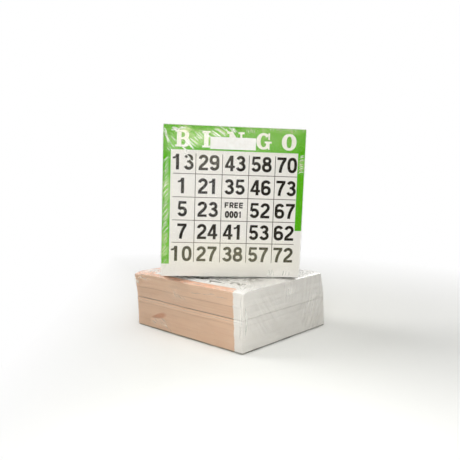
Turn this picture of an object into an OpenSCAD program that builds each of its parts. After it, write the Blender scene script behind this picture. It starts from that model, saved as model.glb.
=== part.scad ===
// Two shrink-wrapped packs of single paper bingo cards. One pack lies face up,
// the other stands on its foot edge on top of it with its face to the front.
// Every card is a loose sheet, and a clear film holds the sheets together.
// The origin is the middle of the underside, +Z is up and the front is -Y.

/* [Card] */
// Width of a card
card_w = 101.6; // [80:0.1:120]
// Height of a card, from its foot to its header edge
card_h = 108; // [80:0.1:130]
// Thickness of the paper
card_t = 0.075; // [0.06:0.001:0.12]
// Air between two neighbouring cards
card_gap = 0.011; // [0.002:0.001:0.03]
// How far one card strays from its bundle
card_stray = 0.08; // [0:0.01:0.15]

/* [Bundles] */
// Cards counted into one bundle; the lowest one is a part bundle and the highest one has the rest
bundle_cards = 50; // [20:1:60]
// Widest air gap where two bundles part
parting = 0.3; // [0.05:0.05:0.4]
// How far a bundle strays from the pack
bundle_stray = 0.12; // [0:0.01:0.2]

/* [Film] */
// Thickness of the shrink film
film_t = 0.04; // [0.02:0.01:0.08]
// Free room between the cards and the film at the sides
film_slack = 0.25; // [0.2:0.05:0.6]
// Free room between the cards and the film at the face and the back
film_seat = 0.05; // [0.02:0.01:0.2]
// Length cut off each corner of the film's outline
film_corner = 0.4; // [0.2:0.05:0.5]
// Width of the welded seam that stands off the film
seam_w = 0.5; // [0.3:0.1:1.5]

/* [Label] */
// Width of the blank label
label_w = 32.5; // [20:0.5:60]
// Height of the blank label
label_h = 8.5; // [6:0.5:16]
// Thickness of the label
label_t = 0.08; // [0.05:0.01:0.2]
// Distance from the card's header edge down to the label's middle
label_down = 11.7; // [8:0.1:30]
// Place of the label's middle, left or right of the card's middle
label_x = -1.6; // [-20:0.1:20]

/* [Placing] */
// Turn of the lying pack under the standing one, in degrees
base_turn = 42.8; // [0:0.1:90]
// Twist of the lying pack's top card against its lowest one, in degrees
base_twist = 2.3; // [0:0.1:3]
// Place of the standing pack's face, left or right of the origin
stand_x = -4.7; // [-15:0.1:15]
// Place of the standing pack's face, in front of the origin
stand_front = 32.4; // [20:0.1:40]
// Forward lean of the standing cards, in degrees
lean_forward = 2.2; // [0:0.1:4]
// Sideways lean of the standing cards, in degrees
lean_side = 0.9; // [0:0.1:1.5]
// Air under the lowest corner of the standing pack
stand_gap = 0.05; // [0.02:0.01:0.2]

/* [Hidden] */
bundles = 10;
// Cards of the lowest bundle, as a share of a full one
lowest_bundle_share = 0.5;
// Air above each bundle as a share of the widest gap, from the lowest bundle up
parting_shares = [0.1, 0.15, 0.1, 0.15, 0.4, 1, 0.15, 0.5, 0.15];
// Each bundle's stray along its width and its height
bundle_stray_shares = [
    [0.2, -0.3], [-0.4, 0.2], [0.5, 0.4], [-0.2, -0.5], [0.6, 0.1],
    [-0.6, 0.3], [0.7, -0.4], [0.3, 0.5], [-0.7, -0.2], [0.1, 0.4]
];
// Turn from one card's stray to the next one's, in degrees
stray_turn = 137.5;
// Height in the lying pack where its twist quickens, and the twist there
bend_share = 0.6;
bend_twist_share = 0.3;
// Steps of the lying pack's film from its underside to its top
film_steps = 10;
// Height of the welded seam in a pack
seam_share = 0.5;

pitch = card_t + card_gap;
side_room = card_stray + bundle_stray + film_slack;
pack_t = bundles * bundle_cards * pitch - card_gap + parting * total(parting_shares, bundles - 1);
stack_z = film_t + film_seat;
lying_t = pack_t + 2 * stack_z;
inner_hw = card_w / 2 + side_room;
inner_hh = card_h / 2 + side_room;
outer_hw = inner_hw + film_t;
outer_hh = inner_hh + film_t;
// An outline that grows by the film keeps its walls parallel when its corners grow by this share
corner_growth_share = 2 - sqrt(2);
stand_z = lying_t + stand_gap + (side_room + film_t) * cos(lean_side) + outer_hw * sin(lean_side);

function total(list, count) = count <= 0 ? 0 : list[count - 1] + total(list, count - 1);

// Number of the first card of a bundle, and one past the last card for the bundle after the last
function first_card(b) = b == 1 ? 0 : b > bundles ? bundles * bundle_cards
    : round(bundle_cards * lowest_bundle_share) + (b - 2) * bundle_cards;

// Number of full or part bundles below a card
function bundle_of(k) = k < first_card(2) ? 0
    : min(bundles - 1, 1 + floor((k - first_card(2)) / bundle_cards));

// Height of a card above the back of its pack
function card_z(k) = k * pitch + parting * total(parting_shares, bundle_of(k));

function stray(k) =
    card_stray * [cos(k * stray_turn), sin(k * stray_turn)]
    + bundle_stray * bundle_stray_shares[bundle_of(k)];

// Twist at a height that is given as a share of the pack, in degrees
function twist_at(s) = base_twist * (s < bend_share
    ? bend_twist_share * s / bend_share
    : bend_twist_share + (1 - bend_twist_share) * (s - bend_share) / (1 - bend_share));

// The lying pack twists about its near corner, where the card's left and foot edges meet
near_corner = [-card_w / 2, -card_h / 2];

function turned(p, a) = [p.x * cos(a) - p.y * sin(a), p.x * sin(a) + p.y * cos(a)];

function twisted(p, a) = near_corner + turned(p - near_corner, a);

// Outline of the film, with its corners cut, anticlockwise from the foot edge
function outline(hw, hh, cut) = [
    [-hw + cut, -hh], [hw - cut, -hh], [hw, -hh + cut], [hw, hh - cut],
    [hw - cut, hh], [-hw + cut, hh], [-hw, hh - cut], [-hw, -hh + cut]
];

module card() {
    translate([-card_w / 2, -card_h / 2, 0]) cube([card_w, card_h, card_t]);
}

// One card of the lying pack, by its number from the back
module lying_card(k) {
    translate([near_corner.x, near_corner.y, stack_z + card_z(k)])
        rotate(twist_at(card_z(k) / pack_t))
        translate([stray(k).x - near_corner.x, stray(k).y - near_corner.y, 0])
        card();
}

// One card of the standing pack, by its number from the back
module standing_card(k) {
    translate([0, (pack_t - card_z(k)) / cos(lean_forward), 0])
        rotate([90 + lean_forward, 0, 0])
        translate([stray(k).x, card_h / 2 + stray(k).y, 0])
        card();
}

module lying() {
    rotate(base_turn) children();
}

// The standing pack's own place: the origin is the middle of the printed face's foot
module standing() {
    translate([stand_x, -stand_front, stand_z]) rotate([0, lean_side, 0]) children();
}

// Numbers of the cards in a bundle; the outermost card of the last bundle is a node of its own
function bundle_range(b) = [first_card(b) : first_card(b + 1) - (b == bundles ? 2 : 1)];

// A solid between level rings, whose heights and outlines are given from the lowest up
module loft(heights, rings) {
    n = len(rings[0]);
    last = len(rings) - 1;
    polyhedron(
        points = [for (r = [0:last]) for (p = rings[r]) [p.x, p.y, heights[r]]],
        faces = concat(
            [[for (i = [0:n - 1]) i], [for (i = [n - 1:-1:0]) last * n + i]],
            [for (r = [0:last - 1]) for (i = [0:n - 1])
                [r * n + i, (r + 1) * n + i, (r + 1) * n + (i + 1) % n]],
            [for (r = [0:last - 1]) for (i = [0:n - 1])
                [r * n + i, (r + 1) * n + (i + 1) % n, r * n + (i + 1) % n]]
        )
    );
}

// The lying pack's film as one closed body, taken in by a given depth on every side
module lying_body(inset) {
    hw = outer_hw - inset;
    hh = outer_hh - inset;
    cut = film_corner - (inset - film_t) * corner_growth_share;
    loft(
        [for (i = [0:film_steps]) i == 0 ? inset : i == film_steps ? lying_t - inset
            : stack_z + pack_t * i / film_steps],
        [for (i = [0:film_steps]) [for (p = outline(hw, hh, cut)) twisted(p, twist_at(i / film_steps))]]
    );
}

// Seam around the left, header and right sides; the film is folded at the foot
module seam() {
    sunk = film_t / 2;
    linear_extrude(2 * film_t, center = true) difference() {
        translate([-outer_hw - seam_w, -card_h / 2])
            square([2 * (outer_hw + seam_w), card_h / 2 + outer_hh + seam_w]);
        polygon(outline(outer_hw - sunk, outer_hh - sunk, film_corner + sunk * corner_growth_share));
    }
}

module lower_film() {
    color("whitesmoke", 0.3) lying() {
        difference() {
            lying_body(0);
            lying_body(film_t);
        }
        translate([near_corner.x, near_corner.y, stack_z + pack_t * seam_share])
            rotate(twist_at(seam_share))
            translate([-near_corner.x, -near_corner.y, 0])
            seam();
    }
}

module lower_top_card() {
    color("peachpuff") lying() lying_card(bundles * bundle_cards - 1);
}

module lower_cards(b) {
    color("burlywood") lying() for (k = bundle_range(b)) lying_card(k);
}

// The standing pack's film as one closed body, taken in by a given depth on every side.
// Its side view is a slanted block, because the cards lean, and its front view has cut corners.
module standing_body(inset) {
    room = side_room + film_t - inset;
    foot = -room;
    head = card_h * cos(lean_forward) + room;
    front = -(film_seat + film_t - inset) / cos(lean_forward);
    back = (pack_t + film_seat + film_t - inset) / cos(lean_forward);
    slant = tan(lean_forward);
    hw = outer_hw - inset;
    hh = (head - foot) / 2;
    cut = film_corner - (inset - film_t) * corner_growth_share;
    depth = back - front + (head - foot) * slant;
    intersection() {
        rotate([90, 0, 90]) linear_extrude(2 * hw, center = true) polygon([
            [front - foot * slant, foot], [back - foot * slant, foot],
            [back - head * slant, head], [front - head * slant, head]
        ]);
        translate([0, back + depth, foot + hh]) rotate([90, 0, 0])
            linear_extrude(3 * depth) polygon(outline(hw, hh, cut));
    }
}

module upright_film() {
    color("whitesmoke", 0.3) standing() {
        difference() {
            standing_body(0);
            standing_body(film_t);
        }
        translate([0, pack_t * (1 - seam_share) / cos(lean_forward), 0])
            rotate([90 + lean_forward, 0, 0])
            translate([0, card_h / 2, 0])
            seam();
    }
}

module upright_label() {
    color("white") standing() rotate([90 + lean_forward, 0, 0])
        translate([label_x - label_w / 2, card_h - label_down - label_h / 2, film_seat + film_t])
        cube([label_w, label_h, label_t]);
}

module upright_face_card() {
    color("yellowgreen") standing() standing_card(bundles * bundle_cards - 1);
}

module upright_cards(b) {
    color("olivedrab") standing() for (k = bundle_range(b)) standing_card(k);
}

lower_film();
lower_top_card();
for (b = [1:bundles]) lower_cards(b);
upright_film();
upright_label();
upright_face_card();
for (b = [1:bundles]) upright_cards(b);
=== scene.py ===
"""Two shrink-wrapped packs of paper bingo cards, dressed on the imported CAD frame.

One pack lies face up and the other stands on it. Every card is a thin sheet of paper, the print is thin ink
on the two outermost cards, and a clear creased film holds each pack. Lengths are in millimetres and angles
in degrees until a mesh is made. A pack's own coordinates are x across a card and y up a card, both from its
middle, and t, the height above the back of the pack.
"""

import logging
from abc import ABC, abstractmethod
from dataclasses import dataclass
from enum import Enum
from functools import reduce

import bpy
import numpy as np
from mathutils import Matrix, Vector


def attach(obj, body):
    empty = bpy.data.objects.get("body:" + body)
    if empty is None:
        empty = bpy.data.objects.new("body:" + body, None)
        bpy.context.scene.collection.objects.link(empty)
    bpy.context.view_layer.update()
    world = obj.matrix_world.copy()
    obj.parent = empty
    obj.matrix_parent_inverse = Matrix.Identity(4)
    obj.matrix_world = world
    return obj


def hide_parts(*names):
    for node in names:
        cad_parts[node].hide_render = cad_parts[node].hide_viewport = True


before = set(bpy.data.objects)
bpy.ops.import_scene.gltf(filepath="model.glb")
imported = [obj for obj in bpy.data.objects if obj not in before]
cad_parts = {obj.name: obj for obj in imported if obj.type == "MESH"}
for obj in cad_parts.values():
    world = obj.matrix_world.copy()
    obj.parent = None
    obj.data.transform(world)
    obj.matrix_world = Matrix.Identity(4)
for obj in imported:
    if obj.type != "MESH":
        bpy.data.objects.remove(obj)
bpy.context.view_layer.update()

MM = 0.001
LOG = logging.getLogger("bingo_packs")
PLACE = "place"
STRENGTH = "strength"
Colour = tuple[float, float, float, float]
Pair = tuple[float, float]
Triple = tuple[float, float, float]
WHITE: Colour = (1.0, 1.0, 1.0, 1.0)


def srgb(red: int, green: int, blue: int) -> Colour:
    """Turns a display colour from 0 to 255 into the linear colour that shaders take.

    Args:
        red, green, blue: the display values.

    Returns:
        The linear colour with full alpha.
    """
    share = np.array([red, green, blue]) / 255
    linear = np.where(share <= 0.04045, share / 12.92, ((share + 0.055) / 1.055) ** 2.4)
    return (*(float(v) for v in linear), 1.0)


class Sock:
    """A shader socket whose Python operators add the Math nodes that they stand for."""

    def __init__(self, tree: "Tree", out: bpy.types.NodeSocket) -> None:
        """Keeps the socket and the tree that new nodes go into."""
        self.tree = tree
        self.out = out

    def math(self, operation: str, *values: "Sock | float", clamp: bool = False) -> "Sock":
        """Adds one Math node.

        Args:
            operation: the node's operation.
            values: its inputs, in order.
            clamp: whether the result is held between 0 and 1.

        Returns:
            The node's output.
        """
        settings = {"operation": operation, "use_clamp": clamp}
        return self.tree.add("ShaderNodeMath", settings, dict(enumerate(values)))

    def __add__(self, other: "Sock | float") -> "Sock":
        """Sum of two values."""
        return self.math("ADD", self, other)

    def __radd__(self, other: float) -> "Sock":
        """Sum of two values."""
        return self.math("ADD", other, self)

    def __sub__(self, other: "Sock | float") -> "Sock":
        """Difference of two values."""
        return self.math("SUBTRACT", self, other)

    def __rsub__(self, other: float) -> "Sock":
        """Difference of two values."""
        return self.math("SUBTRACT", other, self)

    def __mul__(self, other: "Sock | float") -> "Sock":
        """Product of two values."""
        return self.math("MULTIPLY", self, other)

    def __rmul__(self, other: float) -> "Sock":
        """Product of two values."""
        return self.math("MULTIPLY", other, self)

    def __truediv__(self, other: "Sock | float") -> "Sock":
        """Quotient of two values."""
        return self.math("DIVIDE", self, other)

    def __lt__(self, other: "Sock | float") -> "Sock":
        """1 where this value is the smaller one, and else 0."""
        return self.math("LESS_THAN", self, other)

    def __gt__(self, other: "Sock | float") -> "Sock":
        """1 where this value is the greater one, and else 0."""
        return self.math("GREATER_THAN", self, other)

    def size(self) -> "Sock":
        """The value without its sign."""
        return self.math("ABSOLUTE", self)

    def most(self, other: "Sock | float") -> "Sock":
        """The greater one of two values."""
        return self.math("MAXIMUM", self, other)

    def held(self) -> "Sock":
        """The value, held between 0 and 1."""
        return self.math("ADD", self, 0.0, clamp=True)

    def rise(self, start: float, end: float) -> "Sock":
        """Goes evenly from 0 at start to 1 at end, and is held there."""
        return ((self - start) * (1 / (end - start))).held()

    def between(self, low: float, high: float) -> "Sock":
        """Goes from low to high as the value goes from 0 to 1."""
        return self * (high - low) + low


Place = tuple[Sock, Sock, Sock]


class Tree:
    """The node tree of one material or of the world."""

    def __init__(self, tree: bpy.types.NodeTree) -> None:
        """Keeps the tree, emptied of its nodes."""
        self.tree = tree
        self.tree.nodes.clear()

    def add(
        self, kind: str, settings: dict | None = None, inputs: dict | None = None, out: int | str = 0
    ) -> Sock:
        """Adds one node.

        Args:
            kind: the node's type.
            settings: values set on the node itself, before its sockets.
            inputs: values or links of its input sockets, by name or number.
            out: the output that is handed back, by name or number.

        Returns:
            That output.
        """
        node = self.tree.nodes.new(kind)
        for name, value in (settings or {}).items():
            setattr(node, name, value)
        for name, value in (inputs or {}).items():
            if isinstance(value, Sock):
                self.tree.links.new(value.out, node.inputs[name])
            else:
                node.inputs[name].default_value = value
        return Sock(self, node.outputs[out] if node.outputs else None)

    def split(self, vector: Sock) -> Place:
        """The three parts of a vector."""
        node = self.add("ShaderNodeSeparateXYZ", None, {0: vector}).out.node
        return tuple(Sock(self, out) for out in node.outputs)

    def join(self, x: Sock | float, y: Sock | float, z: Sock | float) -> Sock:
        """A vector of three parts."""
        return self.add("ShaderNodeCombineXYZ", None, {0: x, 1: y, 2: z})

    def mix(self, factor: Sock | float, first: Sock | Colour, second: Sock | Colour) -> Sock:
        """A colour that goes from the first to the second as the factor goes from 0 to 1."""
        return self.add("ShaderNodeMix", {"data_type": "RGBA"}, {0: factor, 6: first, 7: second}, out=2)

    def noise(self, vector: Sock, scale: float, detail: float = 2.0, roughness: float = 0.5) -> Sock:
        """Soft noise round one half."""
        inputs = {"Vector": vector, "Scale": scale, "Detail": detail, "Roughness": roughness}
        return self.add("ShaderNodeTexNoise", None, inputs, out="Fac")

    def kept(self, name: str, out: str) -> Sock:
        """What the mesh keeps at its points under a name."""
        settings = {"attribute_type": "GEOMETRY", "attribute_name": name}
        return self.add("ShaderNodeAttribute", settings, None, out)

    def place(self) -> Place:
        """The pack's own coordinates of the point, in millimetres, from the mesh."""
        return self.split(self.kept(PLACE, "Vector"))

    def objects_own(self) -> Sock:
        """Object coordinates in millimetres."""
        point = self.add("ShaderNodeTexCoord", None, None, out="Object")
        return self.add("ShaderNodeVectorMath", {"operation": "SCALE"}, {0: point, "Scale": 1 / MM})

    def bump(self, height: Sock, distance: float) -> Sock:
        """A normal that a height of 0 to 1 tilts, over a distance in millimetres."""
        inputs = {"Strength": 1.0, "Distance": distance * MM, "Height": height}
        return self.add("ShaderNodeBump", None, inputs)

    def rays(self, *kinds: str) -> Sock:
        """1 for rays of the given kinds, named as the Light Path node names them, and else 0."""
        path = self.add("ShaderNodeLightPath").out.node
        return reduce(Sock.most, [Sock(self, path.outputs[f"Is {kind} Ray"]) for kind in kinds])

    def seen(self) -> Sock:
        """1 for the rays of the camera and of mirrors and clear film, and else 0."""
        return self.rays("Camera", "Glossy", "Transmission")

    def lit_through(self) -> Sock:
        """0 for rays that gather light for a matt surface, so that clear film casts no shadow, and else 1."""
        return 1 - self.rays("Shadow", "Diffuse")

    def principled(self, inputs: dict) -> Sock:
        """A Principled shader with the given sockets."""
        return self.add("ShaderNodeBsdfPrincipled", None, inputs)

    def blend(self, factor: Sock, first: Sock, second: Sock) -> Sock:
        """A shader that goes from the first to the second as the factor goes from 0 to 1."""
        return self.add("ShaderNodeMixShader", None, {0: factor, 1: first, 2: second})

    def surface(self, shader: Sock) -> None:
        """Ends the tree at a material's output."""
        self.add("ShaderNodeOutputMaterial", None, {"Surface": shader})


class Finish(ABC):
    """A finish that makes its own material."""

    name: str

    def material(self) -> bpy.types.Material:
        """Makes the material.

        Returns:
            The finish as a new material.
        """
        made = bpy.data.materials.new(self.name)
        made.use_nodes = True
        self.build(Tree(made.node_tree))
        return made

    @abstractmethod
    def build(self, tree: Tree) -> None:
        """Fills the material's tree."""


@dataclass(frozen=True)
class Soil:
    """Marks on the cut edges of a pack: a wedge of ink on the left edges, and painted shade along the lowest
    cards.

    A cover is the least and the greatest share of a mark, between which noise goes.
    """

    smudge_y: float = 30.0
    smudge_t: float = 11.4
    smudge_half_y: float = 9.5
    smudge_half_t: float = 2.3
    smudge_slope: float = -0.28
    smudge_taper: float = 0.6
    smudge_core: float = 0.35
    ink_spot: Colour = srgb(206, 136, 92)
    ink_cover: Pair = (0.3, 0.9)
    # painted shade: a dark band along the edges of the lowest cards
    base_heights: Pair = (0.4, 0.95)
    base_colour: Colour = srgb(100, 94, 74)
    base_cover: Pair = (0.3, 1.0)

    def spot(self, y: Sock, t: Sock) -> Sock:
        """How much of the smudge is at a place.

        It is 1 well within a slanted ellipse that tapers, and falls to 0 at its outline.

        Args:
            y, t: the place in the pack's own coordinates.

        Returns:
            The share of the smudge.
        """
        away_y = (y - self.smudge_y) * (1 / self.smudge_half_y)
        away_t = (t - self.smudge_t - (y - self.smudge_y) * self.smudge_slope) * (1 / self.smudge_half_t)
        away_t = away_t / (1 - away_y * self.smudge_taper)
        return 1 - (away_y * away_y + away_t * away_t).rise(self.smudge_core, 1.0)


@dataclass(frozen=True)
class Speckle:
    """Noise with one rate of change in every direction, in turns for a millimetre."""

    rate: float
    detail: float = 3.0
    roughness: float = 0.6

    def at(self, tree: Tree, point: Sock) -> Sock:
        """The noise at a point in the object's own coordinates."""
        return tree.noise(point, self.rate, self.detail, self.roughness)


@dataclass(frozen=True)
class Grain:
    """Noise with one rate of change over a card and another through the pack, in turns for a millimetre."""

    over: float
    through: float
    detail: float = 2.0
    roughness: float = 0.5

    def at(self, tree: Tree, place: Place) -> Sock:
        """The noise at a place in the pack's own coordinates."""
        x, y, t = (part * rate for part, rate in zip(place, (self.over, self.over, self.through)))
        return tree.noise(tree.join(x, y, t), 1.0, self.detail, self.roughness)


@dataclass(frozen=True)
class CardPaper(Finish):
    """White bingo paper. Its cut edges take the colour of the ink where a printed band runs out over them.

    Its sizes are the card's width and height, the depth of the pack, and where the left and the right band
    stop. A seam is the height of a parting between bundles and its share of the widest one; near a seam the
    rim is darkened with painted shade. The end of the left band moves by the drift from the lowest card to
    the highest one, and wanders from card to card. The line weights are those of the cuts, the bands and the
    clouds in the cut lines.
    """

    name: str
    bleed: Colour
    bleed_dark: Colour
    width: float
    height: float
    depth: float
    left_stop: float
    right_stop: float
    seams: tuple[Pair, ...]
    soil: Soil | None = None
    drift: float = 0.0
    wander: float = 3.0
    paper: Colour = srgb(241, 238, 232)
    shade: Colour = srgb(227, 223, 216)
    cut: Colour = srgb(254, 252, 247)
    cut_shade: Colour = srgb(240, 237, 230)
    # seam_shade and ink_shade are painted shade that darkens the bare and the inked rim at the partings
    seam_shade: Colour = srgb(186, 182, 174)
    ink_shade: Colour = srgb(134, 96, 70)
    seam_half: float = 0.34
    least_seam_share: float = 0.12
    seam_power: float = 1.7
    seam_cover: float = 0.45
    rim: float = 0.4
    fibre: Speckle = Speckle(1.6)
    fibre_range: Pair = (0.3, 0.9)
    fibre_relief: float = 0.15
    relief: float = 0.03
    roughness: float = 0.78
    gloss: float = 0.25
    line_weights: Triple = (0.8, 0.4, 0.5)
    line_base: float = 0.35
    line_range: Pair = (0.2, 0.8)
    cuts: Grain = Grain(0.02, 2.6, 3.0, 0.7)
    bands: Grain = Grain(0.015, 0.9, 2.0, 0.6)
    clouds: Grain = Grain(0.05, 0.22)
    # noise that breaks up the painted shade at the partings and along the lowest cards
    wear: Grain = Grain(0.06, 1.0)
    wear_range: Pair = (0.25, 0.6)
    wear_cover: Pair = (0.55, 1.0)

    def left_ink(self, place: Place, bands: Sock) -> Sock:
        """1 where the left band runs out over the rim, and else 0.

        Args:
            place: the place in the pack's own coordinates.
            bands: noise that changes from card to card.

        Returns:
            The mask.
        """
        x, y, t = place
        shift = (1 - t * (1 / self.depth)) * self.drift + (bands - 0.5) * self.wander
        return (x < self.rim - self.width / 2) * (y + shift > self.left_stop)

    def parted(self, t: Sock) -> Sock:
        """How much painted shade the partings put at a height: near a parting's middle a power of its share,
        and else 0.
        """
        return reduce(Sock.most, [
            (1 - (t - middle).size().rise(self.seam_half / 2, self.seam_half)) * share**self.seam_power
            for middle, share in self.seams if share > self.least_seam_share
        ])

    def build(self, tree: Tree) -> None:
        """Mixes the paper with fine cut lines on the rim, and with ink on the printed parts of the rim.
        Painted shade darkens the rim at the partings and along the lowest cards.

        Args:
            tree: the material's tree.
        """
        place = x, y, t = tree.place()
        fibre = self.fibre.at(tree, tree.objects_own())
        cuts, bands, clouds = (grain.at(tree, place) for grain in (self.cuts, self.bands, self.clouds))
        edge_x, edge_y = self.width / 2 - self.rim, self.height / 2 - self.rim
        left = self.left_ink(place, bands)
        inked = left.most((x > edge_x) * (y > self.right_stop)).most(y > edge_y)
        rim = (x.size() > edge_x).most(y.size() > edge_y)
        fine, wide, soft = self.line_weights
        lines = (cuts * fine + bands * wide + clouds * soft - self.line_base).rise(*self.line_range)
        ink = tree.mix(lines, self.bleed_dark, self.bleed)
        if self.soil:
            spot = self.soil.spot(y, t) * left * cuts.between(*self.soil.ink_cover)
            ink = tree.mix(spot, ink, self.soil.ink_spot)
        face = tree.mix(fibre.rise(*self.fibre_range), self.paper, self.shade)
        paper = tree.mix(rim, face, tree.mix(lines, self.cut_shade, self.cut))
        # Painted shade: the rim darkens at the partings, broken up by noise
        breakup = self.wear.at(tree, place).rise(*self.wear_range)
        seam_shade_mask = self.parted(t) * rim * breakup.between(*self.wear_cover)
        ink = tree.mix(seam_shade_mask, ink, self.ink_shade)
        colour = tree.mix(inked, tree.mix(seam_shade_mask * self.seam_cover, paper, self.seam_shade), ink)
        if self.soil:
            # painted shade along the lowest cards, broken up by noise
            base = (1 - t.rise(*self.soil.base_heights)) * rim * breakup.between(*self.soil.base_cover)
            colour = tree.mix(base, colour, self.soil.base_colour)
        tree.surface(tree.principled({
            "Base Color": colour,
            "Roughness": self.roughness,
            "Specular IOR Level": self.gloss,
            "Normal": tree.bump(cuts * rim + fibre * self.fibre_relief, self.relief),
        }))


@dataclass(frozen=True)
class Ink(Finish):
    """Offset ink: one colour whose cover varies a little, over paper grain."""

    name: str
    colour: Colour
    thin: Colour
    roughness: float = 0.5
    speck_roughness: float = 0.15
    gloss: float = 0.1
    cover: Speckle = Speckle(0.22)
    specks: Speckle = Speckle(3.2, 2.0)
    thin_weights: Pair = (0.8, 0.5)
    thin_range: Pair = (0.55, 0.95)
    relief: float = 0.01

    def build(self, tree: Tree) -> None:
        """Mixes full and thin cover by soft noise, with fine specks.

        Args:
            tree: the material's tree.
        """
        own = tree.objects_own()
        cover, specks = self.cover.at(tree, own), self.specks.at(tree, own)
        soft, fine = self.thin_weights
        thin = (cover * soft + specks * fine).rise(*self.thin_range)
        tree.surface(tree.principled({
            "Base Color": tree.mix(thin, self.colour, self.thin),
            "Roughness": self.roughness + specks * self.speck_roughness,
            "Normal": tree.bump(specks, self.relief),
            "Specular IOR Level": self.gloss,
        }))


@dataclass(frozen=True)
class LabelPaper(Finish):
    """Smooth coated label paper, left blank."""

    name: str = "label_paper"
    colour: Colour = srgb(255, 254, 250)
    shade: Colour = srgb(246, 244, 238)
    cloud: Speckle = Speckle(0.35, roughness=0.5)
    cloud_range: Pair = (0.35, 0.75)
    roughness: Pair = (0.42, 0.62)
    gloss: float = 0.4
    press: Speckle = Speckle(0.9, 2.0, 0.5)
    relief: float = 0.12

    def build(self, tree: Tree) -> None:
        """Mixes two near whites, and presses the paper lightly where the film under it is creased.

        Args:
            tree: the material's tree.
        """
        own = tree.objects_own()
        cloud = self.cloud.at(tree, own)
        tree.surface(tree.principled({
            "Base Color": tree.mix(cloud.rise(*self.cloud_range), self.colour, self.shade),
            "Roughness": cloud.between(*self.roughness),
            "Normal": tree.bump(self.press.at(tree, own), self.relief),
            "Specular IOR Level": self.gloss,
        }))


class Side(Enum):
    """A side of a pack, with its right, up and outward directions in the pack's own coordinates."""

    FACE = ((1, 0, 0), (0, 1, 0), (0, 0, 1))
    BACK = ((-1, 0, 0), (0, 1, 0), (0, 0, -1))
    LEFT = ((0, -1, 0), (0, 0, 1), (-1, 0, 0))
    RIGHT = ((0, 1, 0), (0, 0, 1), (1, 0, 0))
    FOOT = ((1, 0, 0), (0, 0, 1), (0, -1, 0))
    HEADER = ((-1, 0, 0), (0, 0, 1), (0, 1, 0))


@dataclass(frozen=True)
class Haze:
    """A soft patch of painted glare on one side of a pack: white laid on the film in streaks at one angle.

    Its middle is given to the right and up on that side: from the middle of the card on the face, and on
    the other sides from the middle along the edge and from the back of the pack up. The streaks are the
    share of it that noise breaks up, and coarse is how much longer and wider than usual they are.
    """

    x: float
    y: float
    half_x: float
    half_y: float
    strength: float
    angle: float
    streaks: float = 0.85
    side: Side = Side.FACE
    coarse: float = 1.0
    along_rate: float = 0.12
    across_rate: float = 0.75
    streak_range: Pair = (0.36, 0.66)

    def cover(self, tree: Tree, place: Place, reach: Triple) -> Sock:
        """How much of the patch is at a place.

        It falls off from its middle as one less the square of the distance in shares of its half sizes, and
        noise that is drawn out along the angle breaks it into streaks.

        Args:
            tree: the tree that the nodes go into.
            place: the place in the pack's own coordinates.
            reach: how far the cards reach in the three directions.

        Returns:
            The cover from 0 to 1.
        """
        x, y, out = (reduce(Sock.__add__, [part * share for part, share in zip(place, axis) if share])
                     for axis in self.side.value)
        away_x, away_y = (x - self.x) * (1 / self.half_x), (y - self.y) * (1 / self.half_y)
        cos, sin = float(np.cos(np.radians(self.angle))), float(np.sin(np.radians(self.angle)))
        along, across = x * (cos / self.coarse) + y * (sin / self.coarse), y * cos - x * sin
        grain = tree.join(along * self.along_rate, across * (self.across_rate / self.coarse), self.x)
        streaks = tree.noise(grain, 1.0).rise(*self.streak_range).between(1 - self.streaks, 1)
        there = out > float(np.abs(self.side.value[2]) @ np.array(reach))
        return (1 - away_x * away_x - away_y * away_y).held() * streaks * there * self.strength


@dataclass(frozen=True)
class ClearFilm(Finish):
    """Clear shrink film: nearly all light passes, and tight wrinkles catch the lamps.

    It knows how far the cards reach in the three directions, its patches of painted glare, the colour of its
    haze and glare, and how much of a mirror's gloss it has.
    """

    reach: Triple
    hazes: tuple[Haze, ...]
    milk: Colour
    mirror: float
    name: str = "shrink_film"
    haze: float = 0.05
    pull: Grain = Grain(0.16, 0.5, 3.0, 0.55)
    pull_range: Pair = (0.55, 0.9)
    fine: Speckle = Speckle(0.7)
    fine_share: float = 0.2
    relief: float = 0.5
    index: float = 1.42
    mirror_roughness: float = 0.14
    milk_roughness: float = 0.35
    milk_metallic: float = 0.3

    def build(self, tree: Tree) -> None:
        """Mixes clear film with a mirror by Fresnel, and with a thin white: a faint haze where the film
        pulls, and painted glare in the patches.

        Args:
            tree: the material's tree.
        """
        place = tree.place()
        pull = self.pull.at(tree, place)
        fine = self.fine.at(tree, tree.objects_own())
        normal = tree.bump(pull * (1 - self.fine_share) + fine * self.fine_share, self.relief)
        fresnel = tree.add("ShaderNodeFresnel", None, {"IOR": self.index, "Normal": normal})
        mirror = tree.principled({
            "Base Color": WHITE, "Metallic": 1.0, "Roughness": self.mirror_roughness, "Normal": normal,
        })
        # painted glare: a white laid on the film, partly a real metallic sheen
        milk = tree.principled({
            "Base Color": self.milk, "Metallic": self.milk_metallic, "Roughness": self.milk_roughness,
        })
        # painted glare in the patches, over a faint haze where the film pulls
        covers = [haze.cover(tree, place, self.reach) for haze in self.hazes]
        cover = reduce(Sock.most, covers, pull.rise(*self.pull_range) * self.haze)
        lit = tree.lit_through()
        whitened = tree.blend(cover * lit, tree.add("ShaderNodeBsdfTransparent"), milk)
        tree.surface(tree.blend(fresnel * self.mirror * lit, whitened, mirror))


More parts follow.
